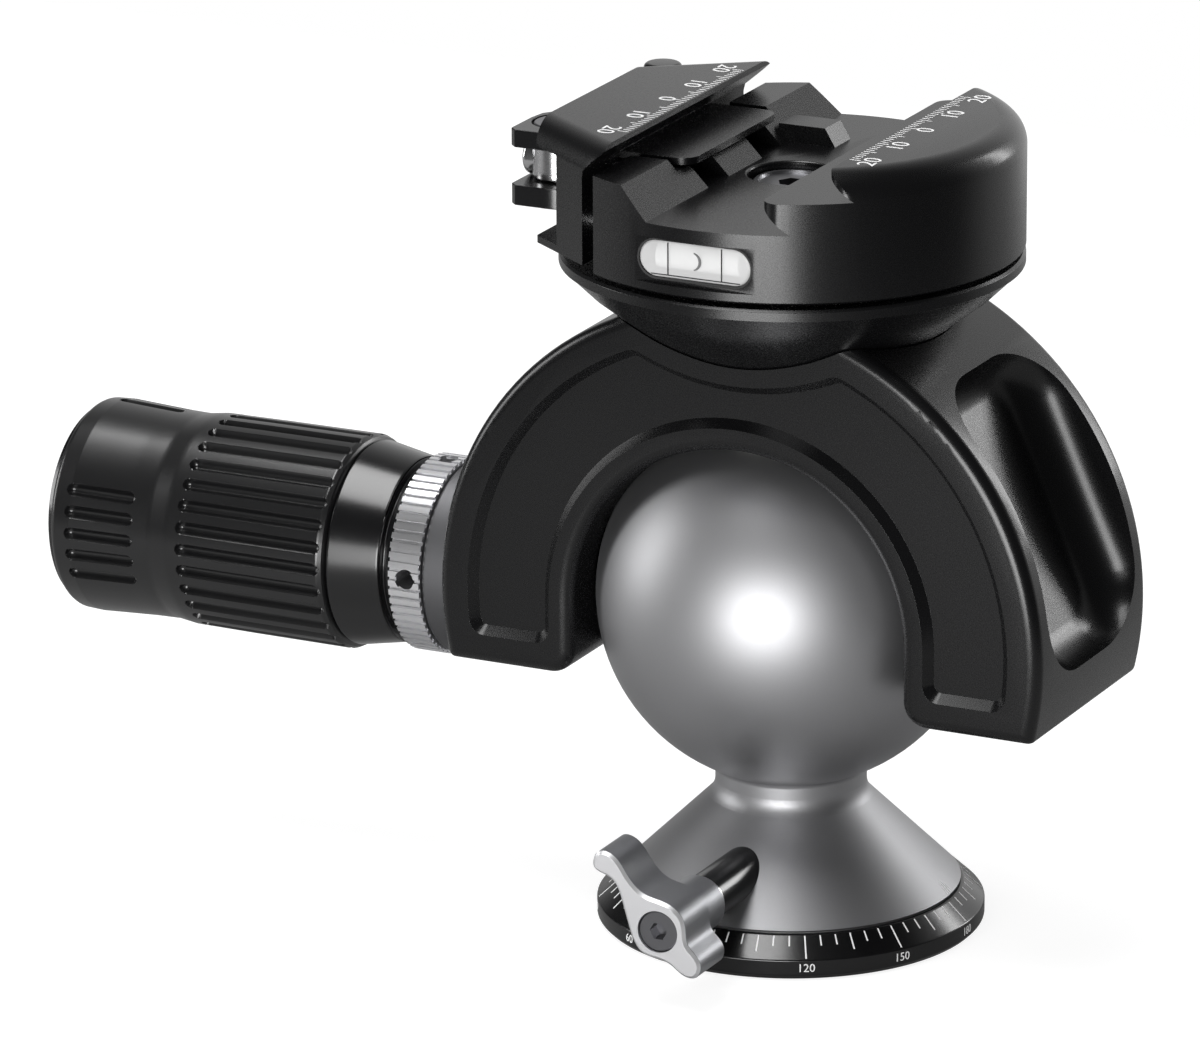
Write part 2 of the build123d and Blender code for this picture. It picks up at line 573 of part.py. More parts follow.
# Lock shoe: a piston with a spherical face, pushed by the spindle through disc springs
with BuildPart() as lock_shoe:
    with BuildSketch(Plane.YZ.offset(-SHOE_BACK)):
        with Locations((0, HANDLE_Z)):
            Circle(SHOE_R)
    extrude(amount=12)
    chamfer(lock_shoe.edges().group_by(Axis.X)[0], 0.4)
    with Locations((0, 0, BALL_Z)):
        Sphere(SEAT_R, mode=Mode.SUBTRACT)
write(lock_shoe, "lock_shoe")

# Disc springs between the spindle and the shoe, in two opposed pairs
with BuildPart() as disc_springs:
    for index in range(4):
        base_x = -SHOE_BACK - 0.75 * index
        inner_x, outer_x = (base_x - 0.3, base_x) if index % 2 == 0 else (base_x, base_x - 0.3)
        revolve(
            section(
                (inner_x, HANDLE_Z + 2.6),
                (outer_x, HANDLE_Z + 6.6),
                (outer_x - 0.44, HANDLE_Z + 6.6),
                (inner_x - 0.44, HANDLE_Z + 2.6),
            ),
            axis=HANDLE_AXIS,
        )
write(disc_springs, "disc_springs")

# Collar screwed into the arch, with the nose that the tension ring turns on
with BuildPart() as handle_collar:
    revolve(
        section(
            (-COLLAR_NECK_IN, HANDLE_Z + SHOE_R + 0.3),
            (-COLLAR_NECK_IN, HANDLE_Z + COLLAR_NECK_R),
            (-COLLAR_SEAT, HANDLE_Z + COLLAR_NECK_R),
            (-COLLAR_SEAT, HANDLE_Z + COLLAR_R),
            (-COLLAR_OUT + 0.4, HANDLE_Z + COLLAR_R),
            (-COLLAR_OUT, HANDLE_Z + COLLAR_R - 0.4),
            (-COLLAR_OUT, HANDLE_Z + NOSE_R),
            (-RING_OUT - 0.05, HANDLE_Z + NOSE_R),
            (-RING_OUT - 0.05, HANDLE_Z + SPINDLE_R + FIT),
            (-COLLAR_NECK_IN - 6, HANDLE_Z + SPINDLE_R + FIT),
            (-COLLAR_NECK_IN - 6, HANDLE_Z + SHOE_R + 0.3),
        ),
        axis=HANDLE_AXIS,
    )
write(handle_collar, "handle_collar")

# Knurled tension ring with four radial pin holes
RING_IN = COLLAR_OUT + 0.1
with BuildPart() as tension_ring:
    with BuildSketch(Plane.YZ.offset(-RING_OUT)):
        with Locations((0, HANDLE_Z)):
            Circle(RING_R)
            Circle(NOSE_R + FIT, mode=Mode.SUBTRACT)
            with PolarLocations(RING_R, RING_TEETH):
                Rectangle(2 * RING_TOOTH_DEPTH, RING_TOOTH_GAP, mode=Mode.SUBTRACT)
    extrude(amount=RING_OUT - RING_IN)
    for quarter in range(4):
        hole_angle = radians(90 * quarter)
        hole_plane = Plane(
            origin=(-RING_HOLE_X, 0, HANDLE_Z),
            x_dir=(1, 0, 0),
            z_dir=(0, -cos(hole_angle), sin(hole_angle)),
        )
        with BuildSketch(hole_plane):
            Circle(RING_HOLE_R)
        extrude(amount=RING_R + 1, mode=Mode.SUBTRACT)
write(tension_ring, "tension_ring")

# Spindle: turns with the handle and drives the shoe
with BuildPart() as lock_spindle:
    revolve(
        section(
            (-SPINDLE_TIP, HANDLE_Z),
            (-SPINDLE_TIP, HANDLE_Z + SPINDLE_R - 0.5),
            (-SPINDLE_TIP - 0.5, HANDLE_Z + SPINDLE_R),
            (-HUB_OUT - 2, HANDLE_Z + SPINDLE_R),
            (-HUB_OUT - 2, HANDLE_Z + 2.5),
            (-HUB_OUT + 12, HANDLE_Z + 2.5),
            (-HUB_OUT + 12, HANDLE_Z),
        ),
        axis=HANDLE_AXIS,
    )
write(lock_spindle, "lock_spindle")

# Smooth tapered hub of the handle, pressed on the spindle
CORE_R, CORE_BORE_R = GRIP_R - 2.0, 11.0
with BuildPart() as handle_hub:
    revolve(
        section(
            (-RING_OUT - 0.15, HANDLE_Z + SPINDLE_R),
            (-RING_OUT - 0.15, HANDLE_Z + GAP_R),
            (-GAP_OUT, HANDLE_Z + GAP_R),
            (-GAP_OUT, HANDLE_Z + HUB_SMALL_R - 0.3),
            (-GAP_OUT - 0.3, HANDLE_Z + HUB_SMALL_R),
            (-HUB_OUT + 0.5, HANDLE_Z + HUB_LARGE_R),
            (-HUB_OUT, HANDLE_Z + HUB_LARGE_R - 0.4),
            (-HUB_OUT, HANDLE_Z + CORE_BORE_R),
            (-HUB_OUT - 7, HANDLE_Z + CORE_BORE_R),
            (-HUB_OUT - 7, HANDLE_Z + 5.6),
            (-HUB_OUT - 2, HANDLE_Z + 5.6),
            (-HUB_OUT - 2, HANDLE_Z + SPINDLE_R),
        ),
        axis=HANDLE_AXIS,
    )
write(handle_hub, "handle_hub")

# Socket screw that holds the hub on the spindle
with BuildPart() as handle_screw:
    revolve(
        section(
            (-HUB_OUT + 10, HANDLE_Z),
            (-HUB_OUT + 10, HANDLE_Z + 2.5),
            (-HUB_OUT - 2, HANDLE_Z + 2.5),
            (-HUB_OUT - 2, HANDLE_Z + 5.4),
            (-HUB_OUT - 7, HANDLE_Z + 5.4),
            (-HUB_OUT - 7, HANDLE_Z),
        ),
        axis=HANDLE_AXIS,
    )
    with BuildSketch(Plane.YZ.offset(-HUB_OUT - 7)):
        with Locations((0, HANDLE_Z)):
            RegularPolygon(2.0, 6, major_radius=False)
    extrude(amount=3.0, mode=Mode.SUBTRACT)
write(handle_screw, "handle_screw")

# Tube inside the grip
with BuildPart() as handle_core:
    with BuildSketch(Plane.YZ.offset(-CORE_OUT)):
        with Locations((0, HANDLE_Z)):
            Circle(CORE_R)
            Circle(CORE_BORE_R, mode=Mode.SUBTRACT)
    extrude(amount=CORE_OUT - HUB_OUT)
write(handle_core, "handle_core")

# Rubber grip with its waist and its long and short grooves
with BuildPart() as handle_grip:
    with BuildSketch(Plane.XZ):
        with BuildLine():
            Polyline(
                (-GRIP_TAIL, HANDLE_Z + CORE_R),
                (-HUB_OUT, HANDLE_Z + CORE_R),
                (-HUB_OUT, HANDLE_Z + HUB_LARGE_R - 0.2),
                (-HUB_OUT - 1.0, HANDLE_Z + GRIP_R),
                (-GRIP_MAIN_OUT, HANDLE_Z + GRIP_R - 0.15),
            )
            Spline(
                (-GRIP_MAIN_OUT, HANDLE_Z + GRIP_R - 0.15),
                (-WAIST_X, HANDLE_Z + WAIST_R),
                (-GRIP_END_X, HANDLE_Z + WAIST_R + 0.1),
                (-GRIP_TAIL + 3.5, HANDLE_Z + GRIP_END_R),
            )
            Polyline(
                (-GRIP_TAIL + 3.5, HANDLE_Z + GRIP_END_R),
                (-GRIP_TAIL + 0.8, HANDLE_Z + GRIP_END_R - 0.2),
                (-GRIP_TAIL, HANDLE_Z + GRIP_END_R - 0.9),
                (-GRIP_TAIL, HANDLE_Z + CORE_R),
            )
        make_face()
    revolve(axis=HANDLE_AXIS)
    for group_turn, (groove_in, groove_out), per_group in (
        (0, LONG_GROOVE, GROOVES),
        (0, SHORT_GROOVE, 5),
        (120, SHORT_GROOVE, 5),
        (240, SHORT_GROOVE, 5),
    ):
        groove_planes = []
        for index in range(per_group):
            angle = radians(group_turn + (index - (per_group - 1) // 2) * 360 / GROOVES)
            groove_planes.append(
                Plane(
                    origin=(-(groove_in + groove_out) / 2, 0, HANDLE_Z),
                    x_dir=(1, 0, 0),
                    z_dir=(0, -cos(angle), sin(angle)),
                ).offset(GRIP_R - GROOVE_DEPTH - 0.15)
            )
        with BuildSketch(*groove_planes):
            SlotOverall(groove_out - groove_in, GROOVE_W)
        extrude(amount=3, mode=Mode.SUBTRACT)
write(handle_grip, "handle_grip")

# End cap with its thin rim
with BuildPart() as handle_end_cap:
    revolve(
        section(
            (-CORE_OUT, HANDLE_Z),
            (-CORE_OUT, HANDLE_Z + CORE_R),
            (-GRIP_TAIL, HANDLE_Z + CORE_R),
            (-GRIP_TAIL, HANDLE_Z + GRIP_END_R - 1.1),
            (-HANDLE_END + 0.3, HANDLE_Z + GRIP_END_R - 1.4),
            (-HANDLE_END, HANDLE_Z + GRIP_END_R - 1.9),
            (-HANDLE_END, HANDLE_Z),
        ),
        axis=HANDLE_AXIS,
    )
write(handle_end_cap, "handle_end_cap")

# Pan base: the bowl under the clamp, fixed in the arch
with BuildPart() as pan_base:
    revolve(
        section(
            *bowl_points(0)[1:],
            (PAN_BASE_R, PAN_BASE_LIP),
            (PAN_BASE_R, PAN_BASE_TOP - 0.4),
            (PAN_BASE_R - 0.4, PAN_BASE_TOP),
            (ROTOR_R + FIT, PAN_BASE_TOP),
            (ROTOR_R + FIT, CLIP_CAVITY_TOP),
            (CLIP_CAVITY_R, CLIP_CAVITY_TOP),
            (CLIP_CAVITY_R, PAN_BASE_LOW),
        ),
        axis=Z_AXIS,
    )
    with Locations(*[(x, y, PAN_BASE_TOP) for x, y in BASE_SCREW_PLACES]):
        CounterBoreHole(BASE_SCREW_R, BASE_HEAD_R, BASE_HEAD_DEPTH)
    with BuildSketch(Plane.XZ.offset(-PAN_BASE_R)):
        with Locations((0, TOP_LOCK_Z)):
            Circle(TOP_BOSS_R)
    extrude(amount=PAN_BASE_R - TOP_BOSS_IN, mode=Mode.SUBTRACT)
    with BuildSketch(Plane.XZ.offset(-TOP_BOSS_IN)):
        with Locations((0, TOP_LOCK_Z)):
            Circle(TOP_SHOE_R + FIT)
    extrude(amount=TOP_BOSS_IN - ROTOR_R + 1, mode=Mode.SUBTRACT)
write(pan_base, "pan_base")

# Four socket screws that fix the pan base to the arch
with BuildPart() as pan_base_screws:
    with BuildSketch(Plane.XY.offset(PAN_BASE_LOW - BASE_SCREW_DEPTH + 1)):
        with Locations(*BASE_SCREW_PLACES):
            Circle(BASE_SCREW_R)
    extrude(amount=PAN_BASE_TOP - BASE_HEAD_DEPTH - PAN_BASE_LOW + BASE_SCREW_DEPTH - 1)
    with BuildSketch(Plane.XY.offset(PAN_BASE_TOP - BASE_HEAD_DEPTH)):
        with Locations(*BASE_SCREW_PLACES):
            Circle(BASE_HEAD_R - FIT)
    extrude(amount=4.0)
    with BuildSketch(Plane.XY.offset(PAN_BASE_TOP - BASE_HEAD_DEPTH + 4.0)):
        with Locations(*BASE_SCREW_PLACES):
            RegularPolygon(1.5, 6, major_radius=False)
    extrude(amount=-2.2, mode=Mode.SUBTRACT)
write(pan_base_screws, "pan_base_screws")

# Washer between the pan base and the clamp
with BuildPart() as clamp_washer:
    with BuildSketch(Plane.XY.offset(PAN_BASE_TOP)):
        Circle(PAN_WASHER_OUT)
        Circle(PAN_WASHER_IN, mode=Mode.SUBTRACT)
    extrude(amount=CLAMP_LOW - PAN_BASE_TOP - FIT)
write(clamp_washer, "clamp_washer")

# Rotor under the clamp, with a groove for its lock shoe and one for the retaining ring
with BuildPart() as pan_rotor:
    revolve(
        section(
            (0, ROTOR_LOW),
            (ROTOR_R - 0.5, ROTOR_LOW),
            (ROTOR_R, ROTOR_LOW + 0.5),
            (ROTOR_R, CLIP_Z),
            (ROTOR_R - 1.0, CLIP_Z),
            (ROTOR_R - 1.0, CLIP_Z + CLIP_T),
            (ROTOR_R, CLIP_Z + CLIP_T),
            (ROTOR_R, TOP_LOCK_Z - HUB_GROOVE_HALF),
            (ROTOR_R - HUB_GROOVE_DEPTH, TOP_LOCK_Z - 0.6),
            (ROTOR_R - HUB_GROOVE_DEPTH, TOP_LOCK_Z + 0.6),
            (ROTOR_R, TOP_LOCK_Z + HUB_GROOVE_HALF),
            (ROTOR_R, CLAMP_LOW),
            (CENTRE_SCREW_R, CLAMP_LOW),
            (CENTRE_SCREW_R, CENTRE_SCREW_LOW),
            (0, CENTRE_SCREW_LOW),
        ),
        axis=Z_AXIS,
    )
write(pan_rotor, "pan_rotor")

# Retaining ring that keeps the rotor in the pan base
with BuildPart() as rotor_ring:
    with BuildSketch(Plane.XY.offset(CLIP_Z)):
        Circle(CLIP_R)
        Circle(ROTOR_R - 1.0, mode=Mode.SUBTRACT)
        with Locations((0, -ROTOR_R)):
            Rectangle(5, 6, mode=Mode.SUBTRACT)
    extrude(amount=CLIP_T)
write(rotor_ring, "rotor_ring")

# Pan lock at the back of the pan base: sleeve, shoe, stud and knurled knob
with BuildPart() as top_lock_boss:
    with BuildSketch(Plane.XZ.offset(-TOP_BOSS_OUT)):
        with Locations((0, TOP_LOCK_Z)):
            Circle(TOP_BOSS_R)
            Circle(PAN_STUD_R + FIT, mode=Mode.SUBTRACT)
    extrude(amount=TOP_BOSS_OUT - TOP_BOSS_IN)
write(top_lock_boss, "top_lock_boss")

TOP_SHOE_TIP = ROTOR_R - HUB_GROOVE_DEPTH + 0.65
TOP_SHOE_BACK = TOP_BOSS_IN - 0.9
with BuildPart() as top_lock_shoe:
    revolve(
        side_section(
            (TOP_SHOE_TIP, TOP_LOCK_Z),
            (TOP_SHOE_TIP, TOP_LOCK_Z + 0.5),
            (ROTOR_R + 1.2, TOP_LOCK_Z + TOP_SHOE_R),
            (TOP_SHOE_BACK, TOP_LOCK_Z + TOP_SHOE_R),
            (TOP_SHOE_BACK, TOP_LOCK_Z),
        ),
        axis=TOP_LOCK_AXIS,
    )
write(top_lock_shoe, "top_lock_shoe")

with BuildPart() as top_lock_stud:
    with BuildSketch(Plane.XZ.offset(-TOP_KNOB_OUT + 2)):
        with Locations((0, TOP_LOCK_Z)):
            Circle(PAN_STUD_R)
    extrude(amount=TOP_KNOB_OUT - 2 - TOP_SHOE_BACK - 0.9)
write(top_lock_stud, "top_lock_stud")

with BuildPart() as top_lock_knob:
    with BuildSketch(Plane.XZ.offset(-TOP_KNOB_OUT)):
        with Locations((0, TOP_LOCK_Z)):
            Circle(TOP_KNOB_R)
            with PolarLocations(TOP_KNOB_R, TOP_KNOB_TEETH):
                Rectangle(0.7, 0.5, mode=Mode.SUBTRACT)
    extrude(amount=TOP_KNOB_OUT - TOP_BOSS_OUT - 0.2)
    with BuildSketch(Plane.XZ.offset(-TOP_KNOB_OUT + 2)):
        with Locations((0, TOP_LOCK_Z)):
            Circle(PAN_STUD_R)
    extrude(amount=20, mode=Mode.SUBTRACT)
write(top_lock_knob, "top_lock_knob")

# Clamp body: a round block with a dovetail jaw on its right and a ramp on its left
CHANNEL = [
    (FIXED_LIP_X, CLAMP_TOP + 2),
    (FIXED_LIP_X, CLAMP_TOP - LIP_LAND),
    (FIXED_ROOT_X, SHELF_Z),
    (SHELF_LIP_X, SHELF_Z),
    (SHELF_LIP_X, SHELF_Z - LIP_LAND),
    (SHELF_ROOT_X, FLOOR_Z),
    (RAMP_LOW_X, FLOOR_Z),
    (RAMP_TOP_X, SHELF_Z),
    (-CLAMP_R - 2, SHELF_Z),
    (-CLAMP_R - 2, CLAMP_TOP + 2),
]
with BuildPart() as clamp_body:
    with BuildSketch(Plane.XY.offset(CLAMP_LOW)):
        Circle(CLAMP_R)
    extrude(amount=CLAMP_TOP - CLAMP_LOW)
    fillet(clamp_body.edges().group_by(Axis.Z)[-1], CLAMP_EDGE_R)
    chamfer(clamp_body.edges().group_by(Axis.Z)[0], 0.3)
    extrude(section(*CHANNEL), amount=CLAMP_R + 1, both=True, mode=Mode.SUBTRACT)
    with Locations((BODY_FLAT_X - CLAMP_R, 0, (CLAMP_LOW + CLAMP_TOP) / 2)):
        Box(2 * CLAMP_R, 3 * CLAMP_R, 30, mode=Mode.SUBTRACT)
    # Rounded ends of the two lips
    extrude(lip_waste(SHELF_LIP_X, FLOOR_Z), amount=SHELF_Z - FLOOR_Z, mode=Mode.SUBTRACT)
    extrude(lip_waste(FIXED_LIP_X, SHELF_Z), amount=CLAMP_TOP - SHELF_Z, mode=Mode.SUBTRACT)
    # Slots in the ramp and the recess that the jaw's blade runs in
    for side in (-1, 1):
        slot_y = side * (NOTCH_IN + NOTCH_OUT) / 2
        with Locations(((RAMP_LOW_X + NOTCH_BACK_X) / 2 + 1, slot_y, FLOOR_Z + 5)):
            Box(
                RAMP_LOW_X - NOTCH_BACK_X + 2,
                NOTCH_OUT - NOTCH_IN,
                10,
                mode=Mode.SUBTRACT,
            )
    with Locations((BODY_FLAT_X, 0, BLADE_RECESS_Z + 5)):
        Box(20, 2 * BLADE_HALF + 3.4, 10, mode=Mode.SUBTRACT)
    # Stop block on the channel floor
    stop_face = section(
        (RAMP_LOW_X - 2.0, FLOOR_Z - 0.5),
        (STOP_FOOT_X, FLOOR_Z - 0.5),
        (STOP_FOOT_X, FLOOR_Z),
        (STOP_TOP_X, STOP_TOP),
        (RAMP_LOW_X - 2.0, STOP_TOP),
    )
    stop_half = (STOP_Y[1] - STOP_Y[0]) / 2
    stop_block = extrude(stop_face, amount=stop_half, both=True, mode=Mode.PRIVATE)
    add(Pos(0, (STOP_Y[0] + STOP_Y[1]) / 2, 0) * stop_block)
    # Centre recess, screw seat and screw hole
    with Locations((0, 0, FLOOR_Z)):
        CounterBoreHole(RECESS_R, RECESS_R, FLOOR_Z - RECESS_Z, depth=FLOOR_Z - RECESS_Z)
    recess_edges = clamp_body.edges().filter_by(GeomType.CIRCLE).group_by(Edge.length)
    for group in recess_edges:
        if abs(group[0].radius - RECESS_R) < FIT:
            fillet(group.sort_by(Axis.Z)[-1], RECESS_EDGE_R)
    with Locations((0, 0, RECESS_Z)):
        CounterBoreHole(CENTRE_SCREW_R + 0.2, CENTRE_HEAD_R + 0.2, RECESS_Z - CENTRE_HEAD_LOW)
    # Milled flat and pocket for the spirit level
    with Locations((0, VIAL_FLAT_Y - 5, (FLAT_LOW + FLAT_HIGH) / 2)):
        Box(30, 10, FLAT_HIGH - FLAT_LOW, mode=Mode.SUBTRACT)
    with BuildSketch(Plane.XZ.offset(-VIAL_FLAT_Y)):
        with Locations((0, VIAL_Z)):
            SlotOverall(VIAL_W, VIAL_H)
    extrude(amount=-VIAL_DEPTH, mode=Mode.SUBTRACT)
    # Bores for the draw rod, the guide rods and their springs
    with BuildSketch(Plane.YZ.offset(BODY_FLAT_X)):
        with Locations((LEVER_Y, DRAW_ROD_Z)):
            Circle(DRAW_ROD_R)
    extrude(amount=DRAW_ROD_END - BODY_FLAT_X, mode=Mode.SUBTRACT)
    with BuildSketch(Plane.YZ.offset(BODY_FLAT_X)):
        with Locations((-GUIDE_Y, GUIDE_Z), (GUIDE_Y, GUIDE_Z)):
            Circle(GUIDE_R + FIT)
    extrude(amount=GUIDE_END - BODY_FLAT_X + 0.5, mode=Mode.SUBTRACT)
    with BuildSketch(Plane.YZ.offset(BODY_FLAT_X)):
        with Locations((-GUIDE_Y, GUIDE_Z), (GUIDE_Y, GUIDE_Z)):
            Circle(SPRING_R + 0.5)
    extrude(amount=SPRING_POCKET, mode=Mode.SUBTRACT)
write(clamp_body, "clamp_body")

# Screw in the clamp's centre that holds it on the rotor
with BuildPart() as centre_screw:
    revolve(
        section(
            (0, CENTRE_SCREW_LOW + 1),
            (CENTRE_SCREW_R, CENTRE_SCREW_LOW + 1),
            (CENTRE_SCREW_R, CENTRE_HEAD_LOW),
            (CENTRE_HEAD_R, CENTRE_HEAD_LOW),
            (CENTRE_HEAD_R, CENTRE_CAP_LOW),
            (CENTRE_CAP_R, CENTRE_CAP_LOW),
            (CENTRE_CAP_R, CENTRE_CAP_TOP - CENTRE_CAP_BEVEL),
            (CENTRE_CAP_R - CENTRE_CAP_BEVEL, CENTRE_CAP_TOP),
            (CENTRE_CAP_R - CENTRE_CAP_RIM, CENTRE_CAP_TOP),
            (CENTRE_CAP_R - CENTRE_CAP_RIM - CENTRE_CAP_BEVEL, CENTRE_CAP_TOP - CENTRE_CAP_DISH),
            (0, CENTRE_CAP_TOP - CENTRE_CAP_DISH),
        ),
        axis=Z_AXIS,
    )
    with BuildSketch(Plane.XY.offset(CENTRE_CAP_TOP)):
        RegularPolygon(CENTRE_HEX_HALF, 6, major_radius=False)
    extrude(amount=-CENTRE_HEX_DEPTH, mode=Mode.SUBTRACT)
write(centre_screw, "centre_screw")

# Spirit level: clear block, liquid, bubble and white backing
with BuildPart() as level_vial:
    with BuildSketch(Plane.XZ.offset(-VIAL_FLAT_Y - 0.05)):
        with Locations((0, VIAL_Z)):
            SlotOverall(VIAL_W, VIAL_H)
    extrude(amount=-(VIAL_DEPTH - BACKING_T - 0.05))
    fillet(level_vial.edges().group_by(Axis.Y)[0], 0.5)
    with BuildSketch(Plane.YZ.offset(-TUBE_HALF)):
        with Locations((VIAL_TUBE_Y, VIAL_Z)):
            Circle(TUBE_R)
    extrude(amount=2 * TUBE_HALF, mode=Mode.SUBTRACT)
write(level_vial, "level_vial")

with BuildPart() as level_bubble:
    with BuildSketch(Plane.YZ.offset(-BUBBLE_HALF)):
        with Locations((VIAL_TUBE_Y, VIAL_Z + TUBE_R - BUBBLE_R - 0.1)):
            Circle(BUBBLE_R)
    extrude(amount=2 * BUBBLE_HALF)
    fillet(level_bubble.edges(), BUBBLE_R - 0.2)
write(level_bubble, "level_bubble")

with BuildPart() as level_liquid:
    with BuildSketch(Plane.YZ.offset(-TUBE_HALF)):
        with Locations((VIAL_TUBE_Y, VIAL_Z)):
            Circle(TUBE_R)
    extrude(amount=2 * TUBE_HALF)
    add(level_bubble.part, mode=Mode.SUBTRACT)
write(level_liquid, "level_liquid")

with BuildPart() as level_backing:
    with BuildSketch(Plane.XZ.offset(-VIAL_FLAT_Y - VIAL_DEPTH + BACKING_T)):
        with Locations((0, VIAL_Z)):
            SlotOverall(VIAL_W, VIAL_H)
    extrude(amount=-BACKING_T)
write(level_backing, "level_backing")

# Movable jaw: top plate, dovetail lip, blade, web and foot. Its outline leaves the clamp's
# circle along tangents that end at two corners.
JAW_SECTION = [
    (JAW_LEFT_X, CLAMP_TOP),
    (JAW_LIP_X, CLAMP_TOP),
    (JAW_LIP_X, CLAMP_TOP - LIP_LAND),
    (JAW_ROOT_X, BLADE_TOP),
    (WEB_IN_X, BLADE_LOW),
    (WEB_IN_X, WEB_LOW),
    (JAW_LEFT_X, WEB_LOW),
    (JAW_LEFT_X, FOOT_TOP),
    (WEB_OUT_X, FOOT_TOP),
    (WEB_OUT_X, JAW_PLATE_LOW),
    (JAW_LEFT_X, JAW_PLATE_LOW),
]
corner_span = acos(CLAMP_R / hypot(JAW_LEFT_X, JAW_CORNER_Y))
tangent_angle = atan2(JAW_CORNER_Y, JAW_LEFT_X) - corner_span
tangent_x, tangent_y = CLAMP_R * cos(tangent_angle), CLAMP_R * sin(tangent_angle)
with BuildPart() as movable_jaw:
    with BuildSketch(Plane.XY.offset(WEB_LOW)):
        with BuildLine():
            ThreePointArc((tangent_x, tangent_y), (CLAMP_R, 0), (tangent_x, -tangent_y))
            Polyline(
                (tangent_x, -tangent_y),
                (CLAMP_R / cos(tangent_angle), 0),
                (tangent_x, tangent_y),
            )
        make_face()
    extrude(amount=CLAMP_TOP - WEB_LOW)
    fillet(movable_jaw.edges().group_by(Axis.Z)[-1], CLAMP_EDGE_R)
    extrude(section(*JAW_SECTION), amount=CLAMP_R + 1, both=True, mode=Mode.INTERSECT)
    corner_edges = movable_jaw.edges().filter_by(Axis.Z).group_by(Axis.X)[0]
    fillet(corner_edges, JAW_CORNER_R)
    with BuildSketch(Plane.XY.offset(BLADE_LOW)) as blade:
        with BuildLine():
            Polyline(
                (WEB_IN_X - 1, -BLADE_HALF),
                (BLADE_LIP_X, -BLADE_HALF),
                (BLADE_LIP_X, BLADE_HALF),
                (WEB_IN_X - 1, BLADE_HALF),
                close=True,
            )
        make_face()
        fillet(blade.vertices().group_by(Axis.X)[-1], 2.6)
    extrude(amount=BLADE_TOP - BLADE_LOW)
    with BuildSketch(Plane.YZ.offset(WEB_OUT_X - 1)):
        with Locations((LEVER_Y, DRAW_ROD_Z)):
            Circle(DRAW_ROD_R + 0.15)
        with Locations((-GUIDE_Y, GUIDE_Z), (GUIDE_Y, GUIDE_Z)):
            Circle(GUIDE_R)
    extrude(amount=WEB_IN_X - WEB_OUT_X + 2, mode=Mode.SUBTRACT)
write(movable_jaw, "movable_jaw")

# Guide rods pressed into the jaw and sliding in the clamp body
with BuildPart() as guide_rods:
    with BuildSketch(Plane.YZ.offset(WEB_OUT_X)):
        with Locations((-GUIDE_Y, GUIDE_Z), (GUIDE_Y, GUIDE_Z)):
            Circle(GUIDE_R)
    extrude(amount=GUIDE_END - WEB_OUT_X)
write(guide_rods, "guide_rods")

# Springs round the guide rods that open the jaw
SPRING_LENGTH = BODY_FLAT_X + SPRING_POCKET - WEB_IN_X - 0.2
with BuildPart() as jaw_springs:
    with BuildSketch(Plane.YZ.offset(WEB_IN_X + 0.1)):
        with Locations((-GUIDE_Y, GUIDE_Z), (GUIDE_Y, GUIDE_Z)):
            Circle(SPRING_R)
            Circle(SPRING_R - 2 * SPRING_WIRE_R, mode=Mode.SUBTRACT)
    extrude(amount=SPRING_LENGTH)
write(jaw_springs, "jaw_springs")

# Draw rod with the eye that the lever pivots on and a round nut at its end
with BuildPart() as draw_rod:
    with BuildSketch(Plane.XY.offset(ARM_DOWN[1] + 0.1)):
        with Locations((LEVER_X, LEVER_Y)):
            Circle(EYE_R)
    extrude(amount=ARM_UP[0] - ARM_DOWN[1] - 0.2)
    chamfer(draw_rod.edges(), 0.3)
    with BuildSketch(Plane.YZ.offset(LEVER_X)):
        with Locations((LEVER_Y, DRAW_ROD_Z)):
            Circle(DRAW_ROD_R)
    extrude(amount=DRAW_ROD_END - LEVER_X)
    with BuildSketch(Plane.YZ.offset(ROD_NUT_X)):
        with Locations((LEVER_Y, DRAW_ROD_Z)):
            Circle(ROD_NUT_R)
    extrude(amount=LEVER_X - EYE_R - ROD_NUT_X + 1.2)
    fillet(draw_rod.edges().group_by(Axis.X)[0], 0.8)
    with BuildSketch(Plane.XY.offset(ARM_DOWN[0])):
        with Locations((LEVER_X, LEVER_Y)):
            Circle(PIVOT_R)
    extrude(amount=20, mode=Mode.SUBTRACT)
write(draw_rod, "draw_rod")

# Pivot pin with a flat head sunk in the upper arm
PIN_HEAD_LOW = ARM_UP[1] - PIN_HEAD_T
with BuildPart() as lever_pin:
    with BuildSketch(Plane.XY.offset(ARM_DOWN[0] + 0.3)):
        with Locations((LEVER_X, LEVER_Y)):
            Circle(PIVOT_R)
    extrude(amount=PIN_HEAD_LOW - ARM_DOWN[0] - 0.3)
    with BuildSketch(Plane.XY.offset(PIN_HEAD_LOW)):
        with Locations((LEVER_X, LEVER_Y)):
            Circle(PIN_HEAD_R)
    extrude(amount=PIN_HEAD_T)
    chamfer(lever_pin.edges().group_by(Axis.Z)[-1], 0.25)
    with BuildSketch(Plane.XY.offset(ARM_UP[1])):
        with Locations((LEVER_X, LEVER_Y)):
            Rectangle(0.8, 2 * PIN_HEAD_R, rotation=30)
    extrude(amount=-0.4, mode=Mode.SUBTRACT)
write(lever_pin, "lever_pin")

